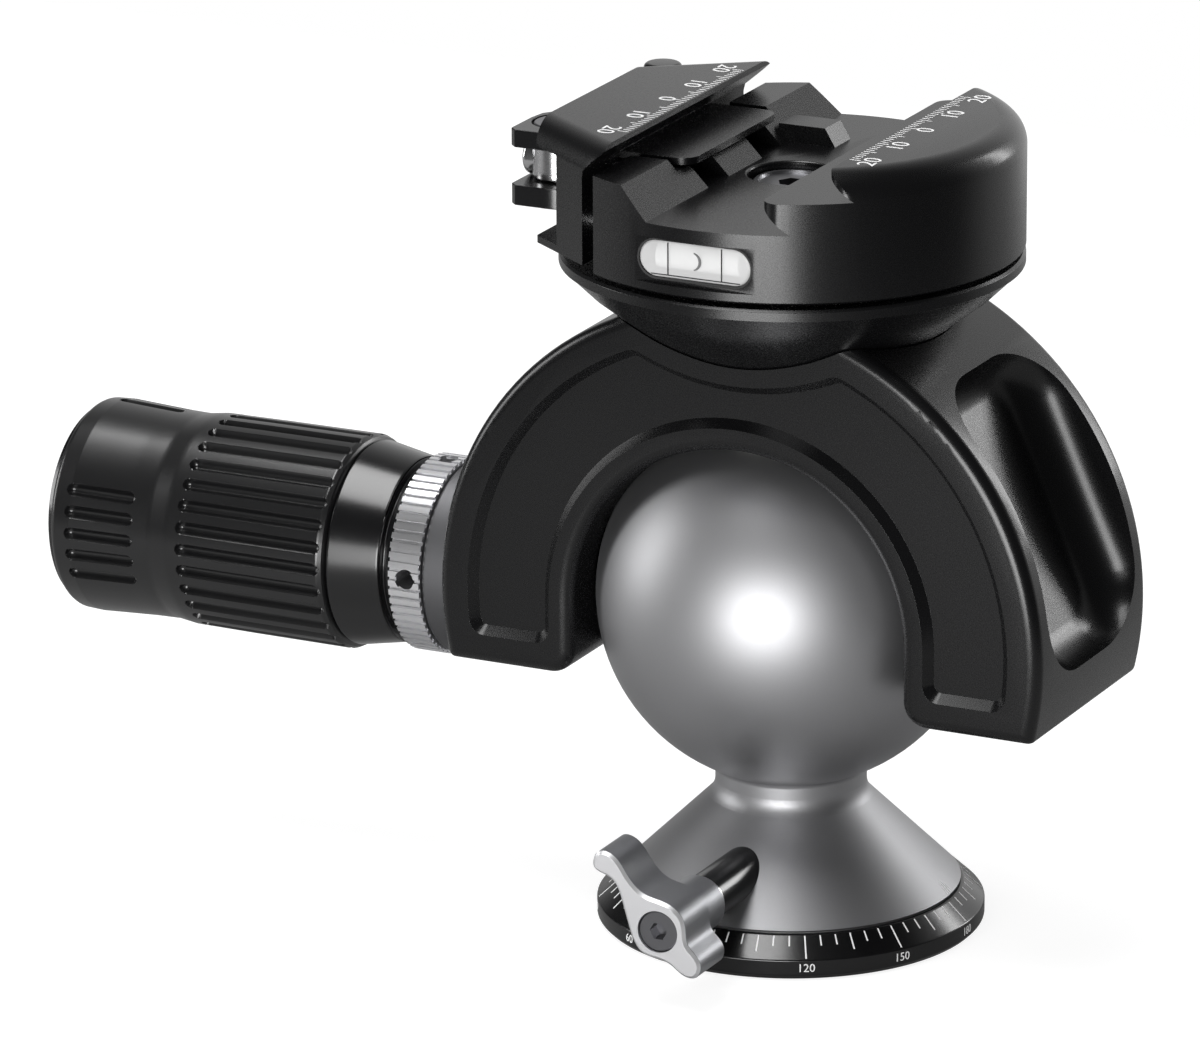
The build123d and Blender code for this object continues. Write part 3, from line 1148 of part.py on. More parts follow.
# Cam lever: two arms about the eye and a curved tail round the clamp
CAM_STEPS = 6
cam_points = []
for step in range(CAM_STEPS + 1):
    angle = radians(-90 * step / CAM_STEPS)
    cam_r = CAM_CLOSED - CAM_GAP - (CAM_CLOSED - CAM_OPEN) * step / CAM_STEPS
    cam_points.append((LEVER_X + cam_r * cos(angle), LEVER_Y + cam_r * sin(angle)))
ARM_FRONT_Y = cam_points[-1][1]
ARM_CORNER = 1.0
ARM_LEFT_SIDE = [(0, 0.4), (0.4, 3.4), (1.6, 5.0)]
ARM_BACK_SIDE = [(0, 6.6), (0, 11.6), (2.5, 15.3), (8.6, 8.8)]
CAM_BACK_Y = 3.2
ARM_MOUTH_LEFT, ARM_MOUTH_RIGHT = -50, -20
ARM_MOUTH_FRONT, ARM_MOUTH_BACK = -15, LEVER_Y + 7.4
TAIL_MID = (TAIL_START + TAIL_END) / 2
TAIL_TIP_X = (LEVER_IN_R + LEVER_OUT_R) / 2 * cos(TAIL_END)
TAIL_TIP_Y = (LEVER_IN_R + LEVER_OUT_R) / 2 * sin(TAIL_END)
tail_in = [(LEVER_IN_R * cos(a), LEVER_IN_R * sin(a)) for a in (TAIL_START, TAIL_MID, TAIL_END)]
tail_out = [(LEVER_OUT_R * cos(a), LEVER_OUT_R * sin(a)) for a in (TAIL_START, TAIL_MID, TAIL_END)]
with BuildPart() as clamp_lever:
    with BuildSketch(Plane.XY.offset(ARM_DOWN[0])):
        with BuildLine():
            Spline(*cam_points)
            Polyline(
                cam_points[-1],
                (ARM_LEFT_X + ARM_CORNER, ARM_FRONT_Y),
                (ARM_LEFT_X, ARM_FRONT_Y + ARM_CORNER),
                *[(ARM_LEFT_X + x, LEVER_Y + y) for x, y in ARM_LEFT_SIDE],
                *[(ARM_BACK_X + x, LEVER_Y + y) for x, y in ARM_BACK_SIDE],
                (cam_points[0][0], LEVER_Y + CAM_BACK_Y),
                cam_points[0],
            )
        make_face()
    extrude(amount=ARM_UP[1] - ARM_DOWN[0])
    with BuildSketch(Plane.XY.offset(ARM_DOWN[1])):
        with BuildLine():
            Polyline(
                (ARM_MOUTH_LEFT, ARM_MOUTH_FRONT),
                (ARM_MOUTH_RIGHT, ARM_MOUTH_FRONT),
                (ARM_MOUTH_RIGHT, ARM_MOUTH_BACK),
                (ARM_MOUTH_LEFT, ARM_MOUTH_BACK),
                close=True,
            )
        make_face()
    extrude(amount=ARM_UP[0] - ARM_DOWN[1], mode=Mode.SUBTRACT)
    with BuildSketch(Plane.XY.offset(ARM_DOWN[0])):
        with BuildLine():
            ThreePointArc(*tail_in)
            Line(tail_in[2], tail_out[2])
            ThreePointArc(*tail_out)
            Line(tail_out[0], tail_in[0])
        make_face()
    extrude(amount=TAIL_TOP - ARM_DOWN[0])
    with BuildSketch(Plane.XY.offset(ARM_DOWN[0])):
        with Locations((TAIL_TIP_X, TAIL_TIP_Y)):
            Circle(TAIL_TIP_R)
    extrude(amount=TAIL_TIP_TOP - ARM_DOWN[0])
    fillet(clamp_lever.edges().group_by(Axis.Z)[-1], 0.8)
    with BuildSketch(Plane.XY.offset(ARM_DOWN[0] - 1)):
        with Locations((LEVER_X, LEVER_Y)):
            Circle(PIVOT_R + FIT)
    extrude(amount=20, mode=Mode.SUBTRACT)
    with BuildSketch(Plane.XY.offset(PIN_HEAD_LOW)):
        with Locations((LEVER_X, LEVER_Y)):
            Circle(PIN_SEAT_R)
    extrude(amount=20, mode=Mode.SUBTRACT)
write(clamp_lever, "clamp_lever")
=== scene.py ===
import json
import math

import bpy
import bmesh
import numpy as np
from mathutils import Matrix, Vector

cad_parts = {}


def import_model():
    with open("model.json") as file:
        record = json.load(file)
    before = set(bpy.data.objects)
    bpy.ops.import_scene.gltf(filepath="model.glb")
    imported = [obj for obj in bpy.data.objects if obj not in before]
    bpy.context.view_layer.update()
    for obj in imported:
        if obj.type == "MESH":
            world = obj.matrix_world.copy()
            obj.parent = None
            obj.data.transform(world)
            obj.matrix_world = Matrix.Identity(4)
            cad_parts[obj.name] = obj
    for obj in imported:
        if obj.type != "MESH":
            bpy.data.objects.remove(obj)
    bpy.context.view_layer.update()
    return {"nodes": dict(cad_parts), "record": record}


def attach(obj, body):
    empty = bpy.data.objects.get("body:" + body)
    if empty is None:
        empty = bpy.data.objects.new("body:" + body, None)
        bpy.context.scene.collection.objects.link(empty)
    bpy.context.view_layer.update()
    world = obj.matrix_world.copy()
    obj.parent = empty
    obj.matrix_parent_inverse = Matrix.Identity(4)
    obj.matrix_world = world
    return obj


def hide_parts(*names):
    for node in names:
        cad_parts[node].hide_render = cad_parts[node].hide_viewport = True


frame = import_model()
nodes = frame["nodes"]

# Real sizes in millimetres, in the part's frame: +Z up, origin at the tripod thread's mouth
MM = 0.001
BALL_Z = 52.6
HANDLE_Z = BALL_Z - 2.2
CLAMP_TOP_Z = BALL_Z + 75.4
PRINT_LIFT = 0.03
COLLAR_NOSE_X, KNOB_FACE_Y = -56.3, -46.75
RING_WALL_R, WALL_TEXT_Z = 30.0, 1.95
BEVEL_INNER_R, BEVEL_TOP_Z, BEVEL_RISE = 26.7, 6.2, 3.0 / 3.3
CONE_EDGE_R, CONE_EDGE_Z, CONE_RISE = 26.3, 6.65, 14.35 / 14.6
LEVEL_FRONT_Y = -34.0

# The photograph's camera: where it stands in metres, and how it is turned in degrees
CAMERA_AT = Vector((0.5446, -1.1637, 0.4709))
CAMERA_AZIMUTH, CAMERA_ELEVATION, CAMERA_ROLL = 26.385, 17.568, -0.272
LENS_MM, SENSOR_MM = 264.55, 36.0


def linear(colour):
    """An sRGB hex colour as linear red, green, blue and alpha."""
    parts = np.array([int(colour[i:i + 2], 16) for i in (1, 3, 5)]) / 255
    parts = np.where(parts <= 0.04045, parts / 12.92, ((parts + 0.055) / 1.055) ** 2.4)
    return (*parts.tolist(), 1.0)


def add(tree, kind, settings=None, links=None):
    """Adds a node, sets its sockets or properties by name, and links its sockets."""
    node = tree.nodes.new(kind)
    for name, value in (settings or {}).items():
        if isinstance(name, int) or name in node.inputs:
            node.inputs[name].default_value = value
        else:
            setattr(node, name, value)
    for name, socket in (links or {}).items():
        tree.links.new(socket, node.inputs[name])
    return node


def material(name, surface):
    """A new material whose Principled shader has these settings."""
    made = bpy.data.materials.new(name)
    made.use_nodes = True
    shader = made.node_tree.nodes["Principled BSDF"]
    for socket, value in surface.items():
        shader.inputs[socket].default_value = value
    return made, made.node_tree, shader


ROUGHNESS_SPREAD = 0.05


def grain(tree, shader, size_mm, height_mm, roughness):
    """Fine grain: a noise lifts the surface and varies its roughness a little."""
    place = add(tree, "ShaderNodeTexCoord")
    noise = add(
        tree,
        "ShaderNodeTexNoise",
        {"Scale": 1 / (size_mm * MM), "Detail": 3.0, "Roughness": 0.6},
        {"Vector": place.outputs["Object"]},
    )
    bump = add(
        tree,
        "ShaderNodeBump",
        {"Strength": 1.0, "Distance": height_mm * MM},
        {"Height": noise.outputs["Fac"]},
    )
    tree.links.new(bump.outputs["Normal"], shader.inputs["Normal"])
    spread = add(
        tree,
        "ShaderNodeMapRange",
        {"To Min": roughness - ROUGHNESS_SPREAD, "To Max": roughness + ROUGHNESS_SPREAD},
        {"Value": noise.outputs["Fac"]},
    )
    tree.links.new(spread.outputs["Result"], shader.inputs["Roughness"])
    return place


def black_anodised():
    """Bead blasted aluminium, anodised black: a matt black skin with a fine grain."""
    made, tree, shader = material(
        "black_anodised",
        {"Base Color": linear("#09090a"), "Metallic": 0.0, "IOR": 1.5, "Specular IOR Level": 0.4},
    )
    grain(tree, shader, 0.3, 0.003, 0.27)
    return made


def black_satin():
    """Turned aluminium, anodised black: smoother than the blasted parts."""
    made, tree, shader = material(
        "black_satin",
        {"Base Color": linear("#0a0a0b"), "Metallic": 0.0, "IOR": 1.5, "Specular IOR Level": 0.6},
    )
    grain(tree, shader, 0.3, 0.002, 0.21)
    return made


def grey_titanium():
    """Blasted aluminium, hard anodised dark grey: a metal with a broad soft highlight."""
    made, tree, shader = material(
        "grey_titanium", {"Base Color": linear("#a0a0a2"), "Metallic": 1.0}
    )
    grain(tree, shader, 0.3, 0.004, 0.49)
    return made


def silver_aluminium():
    """Turned and clear anodised aluminium: bright, with sharp glints on the knurl."""
    made, tree, shader = material(
        "silver_aluminium", {"Base Color": linear("#eeeef0"), "Metallic": 1.0}
    )
    grain(tree, shader, 0.25, 0.002, 0.3)
    return made


def split_colour(tree, shader, place, axis, limit_mm, below, above):
    """One colour on the side of a plane where the coordinate is below the limit, one on the other."""
    split = add(tree, "ShaderNodeSeparateXYZ", {}, {"Vector": place.outputs["Object"]})
    side = add(
        tree,
        "ShaderNodeMath",
        {"operation": "LESS_THAN", 1: limit_mm * MM},
        {0: split.outputs[axis]},
    )
    mix = add(
        tree,
        "ShaderNodeMix",
        {"data_type": "RGBA", 6: linear(above), 7: linear(below)},
        {0: side.outputs["Value"]},
    )
    tree.links.new(mix.outputs[2], shader.inputs["Base Color"])


def collar_grey():
    """Blasted grey aluminium beside the knurled ring, with painted shade on the nose inside it: near black,
    as it sits deep in the ring's hole.
    """
    made, tree, shader = material("collar_grey", {"Metallic": 1.0})
    place = grain(tree, shader, 0.3, 0.006, 0.5)
    # Painted shade: beyond COLLAR_NOSE_X the grey nose is coloured near black, for the shade deep in the
    # ring's hole
    split_colour(tree, shader, place, "X", COLLAR_NOSE_X, "#101011", "#68686a")
    return made


def knob_grey():
    """Cast and blasted grey alloy whose front face is machined bright."""
    made, tree, shader = material("knob_grey", {"Metallic": 1.0})
    place = grain(tree, shader, 0.3, 0.006, 0.42)
    split_colour(tree, shader, place, "Y", KNOB_FACE_Y, "#e6e6e8", "#a2a3a6")
    return made


def grip_rubber():
    """Moulded rubber: deep black with a soft low sheen."""
    made, tree, shader = material(
        "grip_rubber",
        {"Base Color": linear("#0b0b0c"), "IOR": 1.5, "Specular IOR Level": 0.7},
    )
    grain(tree, shader, 0.25, 0.004, 0.3)
    return made


def black_steel():
    """Dark oxide on steel screws: grey where it catches light, smooth and slightly oily."""
    made, tree, shader = material(
        "black_steel", {"Base Color": linear("#77777a"), "Metallic": 1.0}
    )
    grain(tree, shader, 0.2, 0.001, 0.33)
    return made


def bright_steel():
    """Ground stainless steel."""
    made, tree, shader = material(
        "bright_steel", {"Base Color": linear("#c3c3c4"), "Metallic": 1.0}
    )
    grain(tree, shader, 0.2, 0.001, 0.22)
    return made


def bearing_plastic():
    """Natural low friction plastic, slightly waxy."""
    made, tree, shader = material("bearing_plastic", {"Base Color": linear("#dcdad2"), "IOR": 1.48})
    grain(tree, shader, 0.4, 0.002, 0.45)
    return made


def paint(name, colour):
    """Paint in engraved marks, and the painted shade at the bubble's rim: flat and slightly chalky."""
    made, tree, shader = material(name, {"Base Color": linear(colour)})
    grain(tree, shader, 0.1, 0.002, 0.6)
    return made


def clear(name, colour, alpha, roughness):
    """Clear acrylic, liquid or air of the level: see-through, so that its white card stays lit."""
    surface = {"Base Color": linear(colour), "IOR": 1.49, "Alpha": alpha, "Roughness": roughness}
    return material(name, surface)[0]


def vial_white():
    """White backing card behind the vial."""
    made, tree, shader = material("vial_white", {"Base Color": linear("#f2f2f2")})
    grain(tree, shader, 0.3, 0.001, 0.5)
    return made


FINISH = {
    "black_anodised": black_anodised(),
    "black_satin": black_satin(),
    "grey_anodised": grey_titanium(),
    "silver_aluminium": silver_aluminium(),
    "knob_grey": knob_grey(),
    "bright_steel": bright_steel(),
    "black_steel": black_steel(),
    "spring_steel": bright_steel(),
    "grip_rubber": grip_rubber(),
    "bearing_plastic": bearing_plastic(),
    "vial_clear": clear("vial_clear", "#ffffff", 0.4, 0.04),
    "vial_liquid": clear("vial_liquid", "#f0f2f0", 0.2, 0.02),
    "vial_bubble": clear("vial_bubble", "#ffffff", 0.9, 0.02),
    "vial_back": vial_white(),
}
# The collar's finish, with painted shade on its nose inside the ring
COLLAR = collar_grey()
WHITE_PRINT = paint("white_print", "#e4e4e4")
BLACK_PRINT = paint("black_print", "#161616")
# Grey paint for the painted shade at the bubble's dark rim
BUBBLE_SHADE_PAINT = paint("bubble_shade_paint", "#5a5a5a")
SLOTS = {row["node"]: row["material_slot"] for row in frame["record"]["subparts"]}
BODIES = {name: body for body, names in frame["record"]["behaviour"]["bodies"].items() for name in names}
for name, node in nodes.items():
    node.data.materials.clear()
    node.data.materials.append(FINISH[SLOTS[name]])
nodes["handle_collar"].data.materials[0] = COLLAR


MERGE_MM, FLAT_ANGLE, SHARP_ANGLE = 0.002, math.radians(0.2), math.radians(30)


def show(mesh, finish, body, stands_for=None):
    """Puts a finished mesh in the scene: smooth up to its sharp edges, painted, riding on its body."""
    mesh.polygons.foreach_set("use_smooth", np.ones(len(mesh.polygons), bool))
    mesh.set_sharp_from_angle(angle=SHARP_ANGLE)
    mesh.materials.clear()
    mesh.materials.append(finish)
    made = bpy.data.objects.new(mesh.name, mesh)
    bpy.context.scene.collection.objects.link(made)
    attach(made, body)
    if stands_for:
        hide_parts(stands_for)
    return made


def mesh_of(name, points, faces):
    """A mesh from points in millimetres and faces."""
    mesh = bpy.data.meshes.new(name)
    mesh.from_pydata((np.asarray(points) * MM).tolist(), [], [tuple(int(i) for i in face) for face in faces])
    mesh.update()
    return mesh


# Rounded edges
def softened(name, width_mm, finish=None):
    """A merged copy of a CAD node whose sharp edges are rounded by a Bevel modifier."""
    work = bmesh.new()
    work.from_mesh(nodes[name].data)
    bmesh.ops.remove_doubles(work, verts=work.verts, dist=MERGE_MM * MM)
    bmesh.ops.dissolve_limit(work, angle_limit=FLAT_ANGLE, verts=work.verts, edges=work.edges)
    mesh = bpy.data.meshes.new(f"{name}_soft")
    work.to_mesh(mesh)
    work.free()
    normals = mesh.attributes.get("custom_normal")
    if normals:
        mesh.attributes.remove(normals)
    made = show(mesh, finish or FINISH[SLOTS[name]], BODIES[name], name)
    bevel = made.modifiers.new("rounding", "BEVEL")
    bevel.width, bevel.segments = width_mm * MM, 2
    bevel.limit_method, bevel.angle_limit = "ANGLE", SHARP_ANGLE
    bevel.harden_normals = True
    return made


for name, width in (
    ("arch_yoke", 0.3),
    ("clamp_body", 0.28),
    ("movable_jaw", 0.28),
    ("clamp_lever", 0.35),
    ("pan_base", 0.25),
    ("scale_ring", 0.2),
    ("handle_hub", 0.3),
    ("tension_ring", 0.1),
    ("pan_lock_knob", 0.3),
    ("draw_rod", 0.2),
    ("lever_pin", 0.15),
):
    softened(name, width)
softened("handle_collar", 0.25, finish=COLLAR)


# Grip: its smooth outline, as the distance out along the handle and the radius there
GRIP_PROFILE = (
    (72.6, 15.9),
    (72.9, 16.6),
    (73.6, 17.0),
    (90.0, 16.95),
    (100.4, 16.85),
    (103.7, 16.4),
    (108.0, 16.5),
    (114.0, 16.8),
    (117.7, 17.0),
    (120.4, 16.85),
    (120.9, 16.6),
    (121.2, 16.1),
)
GRIP_INNER_R = 15.02
GROOVE_PITCH, GROOVE_W, GROOVE_DEPTH = math.radians(12), 1.8, 1.15
GROOVE_PLACES = 30
SHORT_GROOVES = [middle + step for middle in (0, 10, 20) for step in range(-2, 3)]
GROOVE_RUNS = ((73.3, 98.6, range(GROOVE_PLACES)), (106.6, 118.4, SHORT_GROOVES))
GRIP_COLUMNS = 600
# Rows of the grip's grid, closer together where grooves end: from, to and how many
GRIP_ROWS = (
    (72.6, 73.8, 8),
    (73.8, 75.0, 10),
    (75.0, 97.5, 12),
    (97.5, 98.8, 11),
    (98.8, 106.4, 14),
    (106.4, 107.7, 11),
    (107.7, 117.3, 9),
    (117.3, 118.6, 11),
    (118.6, 121.2, 14),
)


def grip():
    """The grip's skin. At a place along the handle and an angle round it, the radius is the smooth
    profile's radius less the depth of the groove there. A groove is a slot with round ends, deepest
    on its middle line, whose depth falls to nothing at its edge as a circle's arc does."""
    inner, outer = GRIP_ROWS[0][0], GRIP_ROWS[-1][1]
    out = np.concatenate([np.linspace(a, b, n, endpoint=False) for a, b, n in GRIP_ROWS] + [[outer]])
    known = np.array(GRIP_PROFILE)
    radius = np.interp(out, known[:, 0], known[:, 1])
    turn = np.arange(GRIP_COLUMNS) * 2 * math.pi / GRIP_COLUMNS
    depth = np.zeros((len(out), GRIP_COLUMNS))
    for start, end, places in GROOVE_RUNS:
        middle, straight = (start + end) / 2, (end - start - GROOVE_W) / 2
        beyond = np.maximum(np.abs(out - middle) - straight, 0)[:, None]
        for place in places:
            apart = (turn - place * GROOVE_PITCH + math.pi) % (2 * math.pi) - math.pi
            across = apart[None, :] * radius[:, None]
            share = np.clip(1 - (np.hypot(across, beyond) / (GROOVE_W / 2)) ** 2, 0, 1)
            depth = np.maximum(depth, GROOVE_DEPTH * share ** 0.5)
    radii = radius[:, None] - depth
    radii = np.concatenate([radii, np.full((2, GRIP_COLUMNS), GRIP_INNER_R)])
    out = np.concatenate([out, [outer, inner]])
    points = np.stack(
        [
            np.broadcast_to(-out[:, None], radii.shape),
            -radii * np.cos(turn),
            HANDLE_Z + radii * np.sin(turn),
        ],
        -1,
    )
    skin = mesh_of("grip_skin", points.reshape(-1, 3), wrapped(*radii.shape))
    show(skin, FINISH["grip_rubber"], BODIES["handle_grip"], "handle_grip")


def wrapped(rows, columns):
    """Faces of a grid whose last row and last column join its first ones."""
    i, j = (part.ravel() for part in np.meshgrid(np.arange(rows), np.arange(columns), indexing="ij"))
    below, beside = (i + 1) % rows, (j + 1) % columns
    return np.stack([i * columns + j, i * columns + beside, below * columns + beside, below * columns + j], 1)


grip()


# Marks and numbers, painted on the surfaces they follow
def on_wall(u, v, lift):
    """Round the scale ring's wall: u runs round it in millimetres, v is the height."""
    turn, r = u / RING_WALL_R, RING_WALL_R + lift
    return np.stack([r * np.cos(turn), r * np.sin(turn), v], -1)


def sloped(u, v, lift, known_r, known_z, rise):
    """A cone about Z that rises inwards, known at one radius: u is the angle from +X, v the radius.
    Seen from outside, v is a quarter turn clockwise from u, so corners that are given
    counter-clockwise in u and v are reversed."""
    normal = math.hypot(1, rise)
    r = v + lift * rise / normal
    return np.stack([r * np.cos(u), r * np.sin(u), known_z + (known_r - v) * rise + lift / normal], -1)


def on_bevel(u, v, lift):
    """The scale ring's bevel: u is the angle from +X, v the radius."""
    return sloped(u, v, lift, BEVEL_INNER_R, BEVEL_TOP_Z, BEVEL_RISE)


def on_cone(u, v, lift):
    """The pedestal's cone above its edge: u is the angle from +X, v the radius."""
    return sloped(u, v, lift, CONE_EDGE_R, CONE_EDGE_Z, CONE_RISE)


def on_clamp(u, v, lift):
    """The clamp's flat top."""
    return np.stack([u, v, np.full(np.shape(u), CLAMP_TOP_Z) + lift], -1)


def on_level(u, v, lift):
    """The level's clear front."""
    return np.stack([u, np.full(np.shape(u), LEVEL_FRONT_Y) - lift, v], -1)


def strokes(name, corners, surface, body, finish):
    """Painted strokes as thin closed slabs. Each has four corners in the surface's own two
    directions, in counter-clockwise order as seen from outside."""
    corners = np.array(corners, float)
    sheets = [surface(corners[..., 0], corners[..., 1], lift) for lift in (-PRINT_LIFT, PRINT_LIFT)]
    points = np.concatenate(sheets, 1).reshape(-1, 3)
    slab = np.array([(3, 2, 1, 0), (4, 5, 6, 7), (0, 1, 5, 4), (1, 2, 6, 5), (2, 3, 7, 6), (3, 0, 4, 7)])
    faces = (np.arange(len(corners))[:, None, None] * 8 + slab).reshape(-1, 4)
    show(mesh_of(name, points, faces), finish, body)


def numbers(name, texts, surface, body, width=1.0):
    """Plain numbers: each text's outline becomes a thin mesh, is turned and placed in the
    surface's two directions, and is laid on it."""
    points, faces = [], []
    for text, middle, height, turn in texts:
        curve = bpy.data.curves.new(name, "FONT")
        curve.body, curve.size, curve.extrude = text, height / 0.7, PRINT_LIFT
        curve.align_x, curve.align_y, curve.resolution_u = "CENTER", "CENTER", 3
        holder = bpy.data.objects.new(name, curve)
        flat = bpy.data.meshes.new_from_object(holder)
        start = len(points)
        for vertex in flat.vertices:
            x, y, lift = vertex.co[0] * width, vertex.co[1], vertex.co[2]
            u = middle[0] + x * math.cos(turn) - y * math.sin(turn)
            v = middle[1] + x * math.sin(turn) + y * math.cos(turn)
            points.append(surface(np.array(u), np.array(v), lift))
        faces += [[start + i for i in polygon.vertices] for polygon in flat.polygons]
        bpy.data.objects.remove(holder)
        bpy.data.curves.remove(curve)
        bpy.data.meshes.remove(flat)
    show(mesh_of(name, np.array(points), faces), WHITE_PRINT, body)


# Half widths of the strokes on the bevel and the cone are angles: millimetres over the radius
LABEL_ZERO = math.radians(-180.4)
TICK_FOOT_R, TICK_HALF, RING_NUMBER_H = 26.85, 0.11 / 28, 1.3
TICK_END_30, TICK_END_15, TICK_END_5 = 29.75, 28.95, 28.15
INDEX_LABEL, INDEX_FOOT_R, INDEX_MIDDLE_R, INDEX_HALF = 184.2, 26.1, 25.5, 0.08 / 25.5


def upright(u, low, high, half):
    """The corners of a stroke about u, from low to high in the other direction."""
    return [(u - half, low), (u + half, low), (u + half, high), (u - half, high)]


def ring_scale():
    """A stroke each 5 degrees on the bevel, longer each 15 and longest each 30, with the
    degrees of each 30 round the wall below."""
    corners, texts = [], []
    for label in range(0, 360, 5):
        turn = math.radians(label) + LABEL_ZERO
        end = TICK_END_30 if label % 30 == 0 else TICK_END_15 if label % 15 == 0 else TICK_END_5
        corners.append(upright(turn, TICK_FOOT_R, end, TICK_HALF)[::-1])
        if label % 30 == 0:
            texts.append((str(label), (RING_WALL_R * turn, WALL_TEXT_Z), RING_NUMBER_H, 0))
    strokes("ring_ticks", corners, on_bevel, BODIES["scale_ring"], WHITE_PRINT)
    numbers("ring_numbers", texts, on_wall, BODIES["scale_ring"])


def index_mark():
    """Three short strokes at the cone's edge, the middle one longer."""
    corners = []
    for offset, reach in ((-0.6, 25.0), (0.0, 24.4), (0.6, 25.0)):
        turn = math.radians(INDEX_LABEL) + LABEL_ZERO + offset / INDEX_MIDDLE_R
        corners.append(upright(turn, reach, INDEX_FOOT_R, INDEX_HALF)[::-1])
    strokes("index_mark", corners, on_cone, BODIES["ball_pedestal"], WHITE_PRINT)


JAW_TICK_START, JAW_TICK_HALF = 0.3, 0.11
JAW_TICK_TEN, JAW_TICK_FIVE, JAW_TICK_ONE = 1.8, 2.1, 1.3
JAW_NUMBER_AT, JAW_NUMBER_H, JAW_NUMBER_WIDTH = 3.7, 2.8, 1.1


def clamp_scale(name, lip_x, side, body):
    """A stroke each millimetre along a lip, longest each 5 and a little shorter each 10, where a
    number stands at its end. The numbers count out from the middle."""
    corners, texts = [], []
    start = lip_x + side * JAW_TICK_START
    for y in range(-20, 21):
        reach = JAW_TICK_TEN if y % 10 == 0 else JAW_TICK_FIVE if y % 5 == 0 else JAW_TICK_ONE
        x0, x1 = sorted((start, start + side * reach))
        low, high = y - JAW_TICK_HALF, y + JAW_TICK_HALF
        corners.append([(x0, low), (x1, low), (x1, high), (x0, high)])
        if y % 10 == 0:
            texts.append((str(abs(y)), (lip_x + side * JAW_NUMBER_AT, y), JAW_NUMBER_H, side * math.pi / 2))
    strokes(f"{name}_ticks", corners, on_clamp, body, WHITE_PRINT)
    numbers(f"{name}_numbers", texts, on_clamp, body, JAW_NUMBER_WIDTH)


def along(path, widths):
    """Strokes that follow a path: each joins two neighbouring points and is as wide as given there."""
    path, widths = np.array(path, float), np.asarray(widths, float)[:, None]
    forward = np.gradient(path, axis=0)
    side = np.stack([-forward[:, 1], forward[:, 0]], 1) / np.hypot(*forward.T)[:, None] * widths / 2
    left, right = path + side, path - side
    return [[right[i], right[i + 1], left[i + 1], left[i]] for i in range(len(path) - 1)]


LEVEL_MIDDLE_Z = BALL_Z + 60.75
LEVEL_LINE_X, LEVEL_LINE_HALF, LEVEL_LINE_DOWN, LEVEL_LINE_UP = 4.4, 0.1, 2.35, 2.65
TUBE_LINE_X, TUBE_LINE_HALF = (-7.2, 7.4), 0.08
BUBBLE_X, BUBBLE_R, BUBBLE_LIFT = -0.5, 1.35, 0.2
VIAL_END_X, VIAL_END_R, VIAL_GAP_W = 6.3, 3.0, 0.3


def level_marks():
    """The two lines that the bubble settles between, the long edge line of the vial's tube under them, a
    crescent of painted shade along one side of the bubble's rim, and the black gap round the vial."""
    low, high = LEVEL_MIDDLE_Z - LEVEL_LINE_DOWN, LEVEL_MIDDLE_Z + LEVEL_LINE_UP
    corners = [upright(x, low, high, LEVEL_LINE_HALF) for x in (-LEVEL_LINE_X, LEVEL_LINE_X)]
    left, right = TUBE_LINE_X
    under, over = low - TUBE_LINE_HALF, low + TUBE_LINE_HALF
    corners.append([(left, under), (right, under), (right, over), (left, over)])
    strokes("level_lines", corners, on_level, BODIES["level_vial"], BLACK_PRINT)
    # Painted shade: a grey crescent on one side of the bubble, widest in its middle, for the dark rim the
    # bubble shows
    turn = np.radians(np.linspace(-75, 75, 13))
    bubble_z = LEVEL_MIDDLE_Z + BUBBLE_LIFT
    arc = np.stack([BUBBLE_X + BUBBLE_R * np.cos(turn), bubble_z + BUBBLE_R * np.sin(turn)], 1)
    strokes("bubble_painted_shade", along(arc, 0.05 + 0.4 * np.cos(turn)), on_level, BODIES["level_vial"], BUBBLE_SHADE_PAINT)
    turn = np.radians(np.linspace(-90, 90, 19))
    half = np.stack([VIAL_END_X + VIAL_END_R * np.cos(turn), LEVEL_MIDDLE_Z + VIAL_END_R * np.sin(turn)], 1)
    ring = np.concatenate([half, half * (-1, -1) + (0, 2 * LEVEL_MIDDLE_Z), half[:1], half[1:2]])
    gap = along(ring, np.full(len(ring), VIAL_GAP_W))[:-1]
    strokes("level_gap", gap, on_level, BODIES["level_vial"], BLACK_PRINT)


ring_scale()
index_mark()
clamp_scale("fixed_scale", 18.4, 1, BODIES["clamp_body"])
clamp_scale("jaw_scale", -17.4, -1, BODIES["movable_jaw"])
level_marks()


# Camera
def camera():
    """The photograph's camera: turned by azimuth and elevation about the part, then rolled."""
    a, e, r = (math.radians(v) for v in (CAMERA_AZIMUTH, CAMERA_ELEVATION, CAMERA_ROLL))
    back = Vector((math.sin(a) * math.cos(e), -math.cos(a) * math.cos(e), math.sin(e)))
    right = Vector((math.cos(a), math.sin(a), 0))
    up = back.cross(right)
    turned = Matrix((math.cos(r) * right + math.sin(r) * up, -math.sin(r) * right + math.cos(r) * up, back))
    data = bpy.data.cameras.new("photo_camera")
    data.lens, data.sensor_width, data.sensor_fit = LENS_MM, SENSOR_MM, "HORIZONTAL"
    data.clip_start, data.clip_end = 0.05, 20
    made = bpy.data.objects.new("photo_camera", data)
    made.matrix_world = Matrix.Translation(CAMERA_AT) @ turned.transposed().to_4x4()
    bpy.context.scene.collection.objects.link(made)
    bpy.context.scene.camera = made


camera()


# Studio
def softbox(name, at, aim, width, height, power):
    """A flat area lamp at a place, turned to an aim."""
    data = bpy.data.lights.new(name, "AREA")
    data.shape, data.size, data.size_y, data.energy = "RECTANGLE", width, height, power
    made = bpy.data.objects.new(name, data)
    made.location = at
    made.rotation_mode = "QUATERNION"
    made.rotation_quaternion = (Vector(aim) - Vector(at)).to_track_quat("-Z", "Y")
    made.visible_camera = False
    bpy.context.scene.collection.objects.link(made)


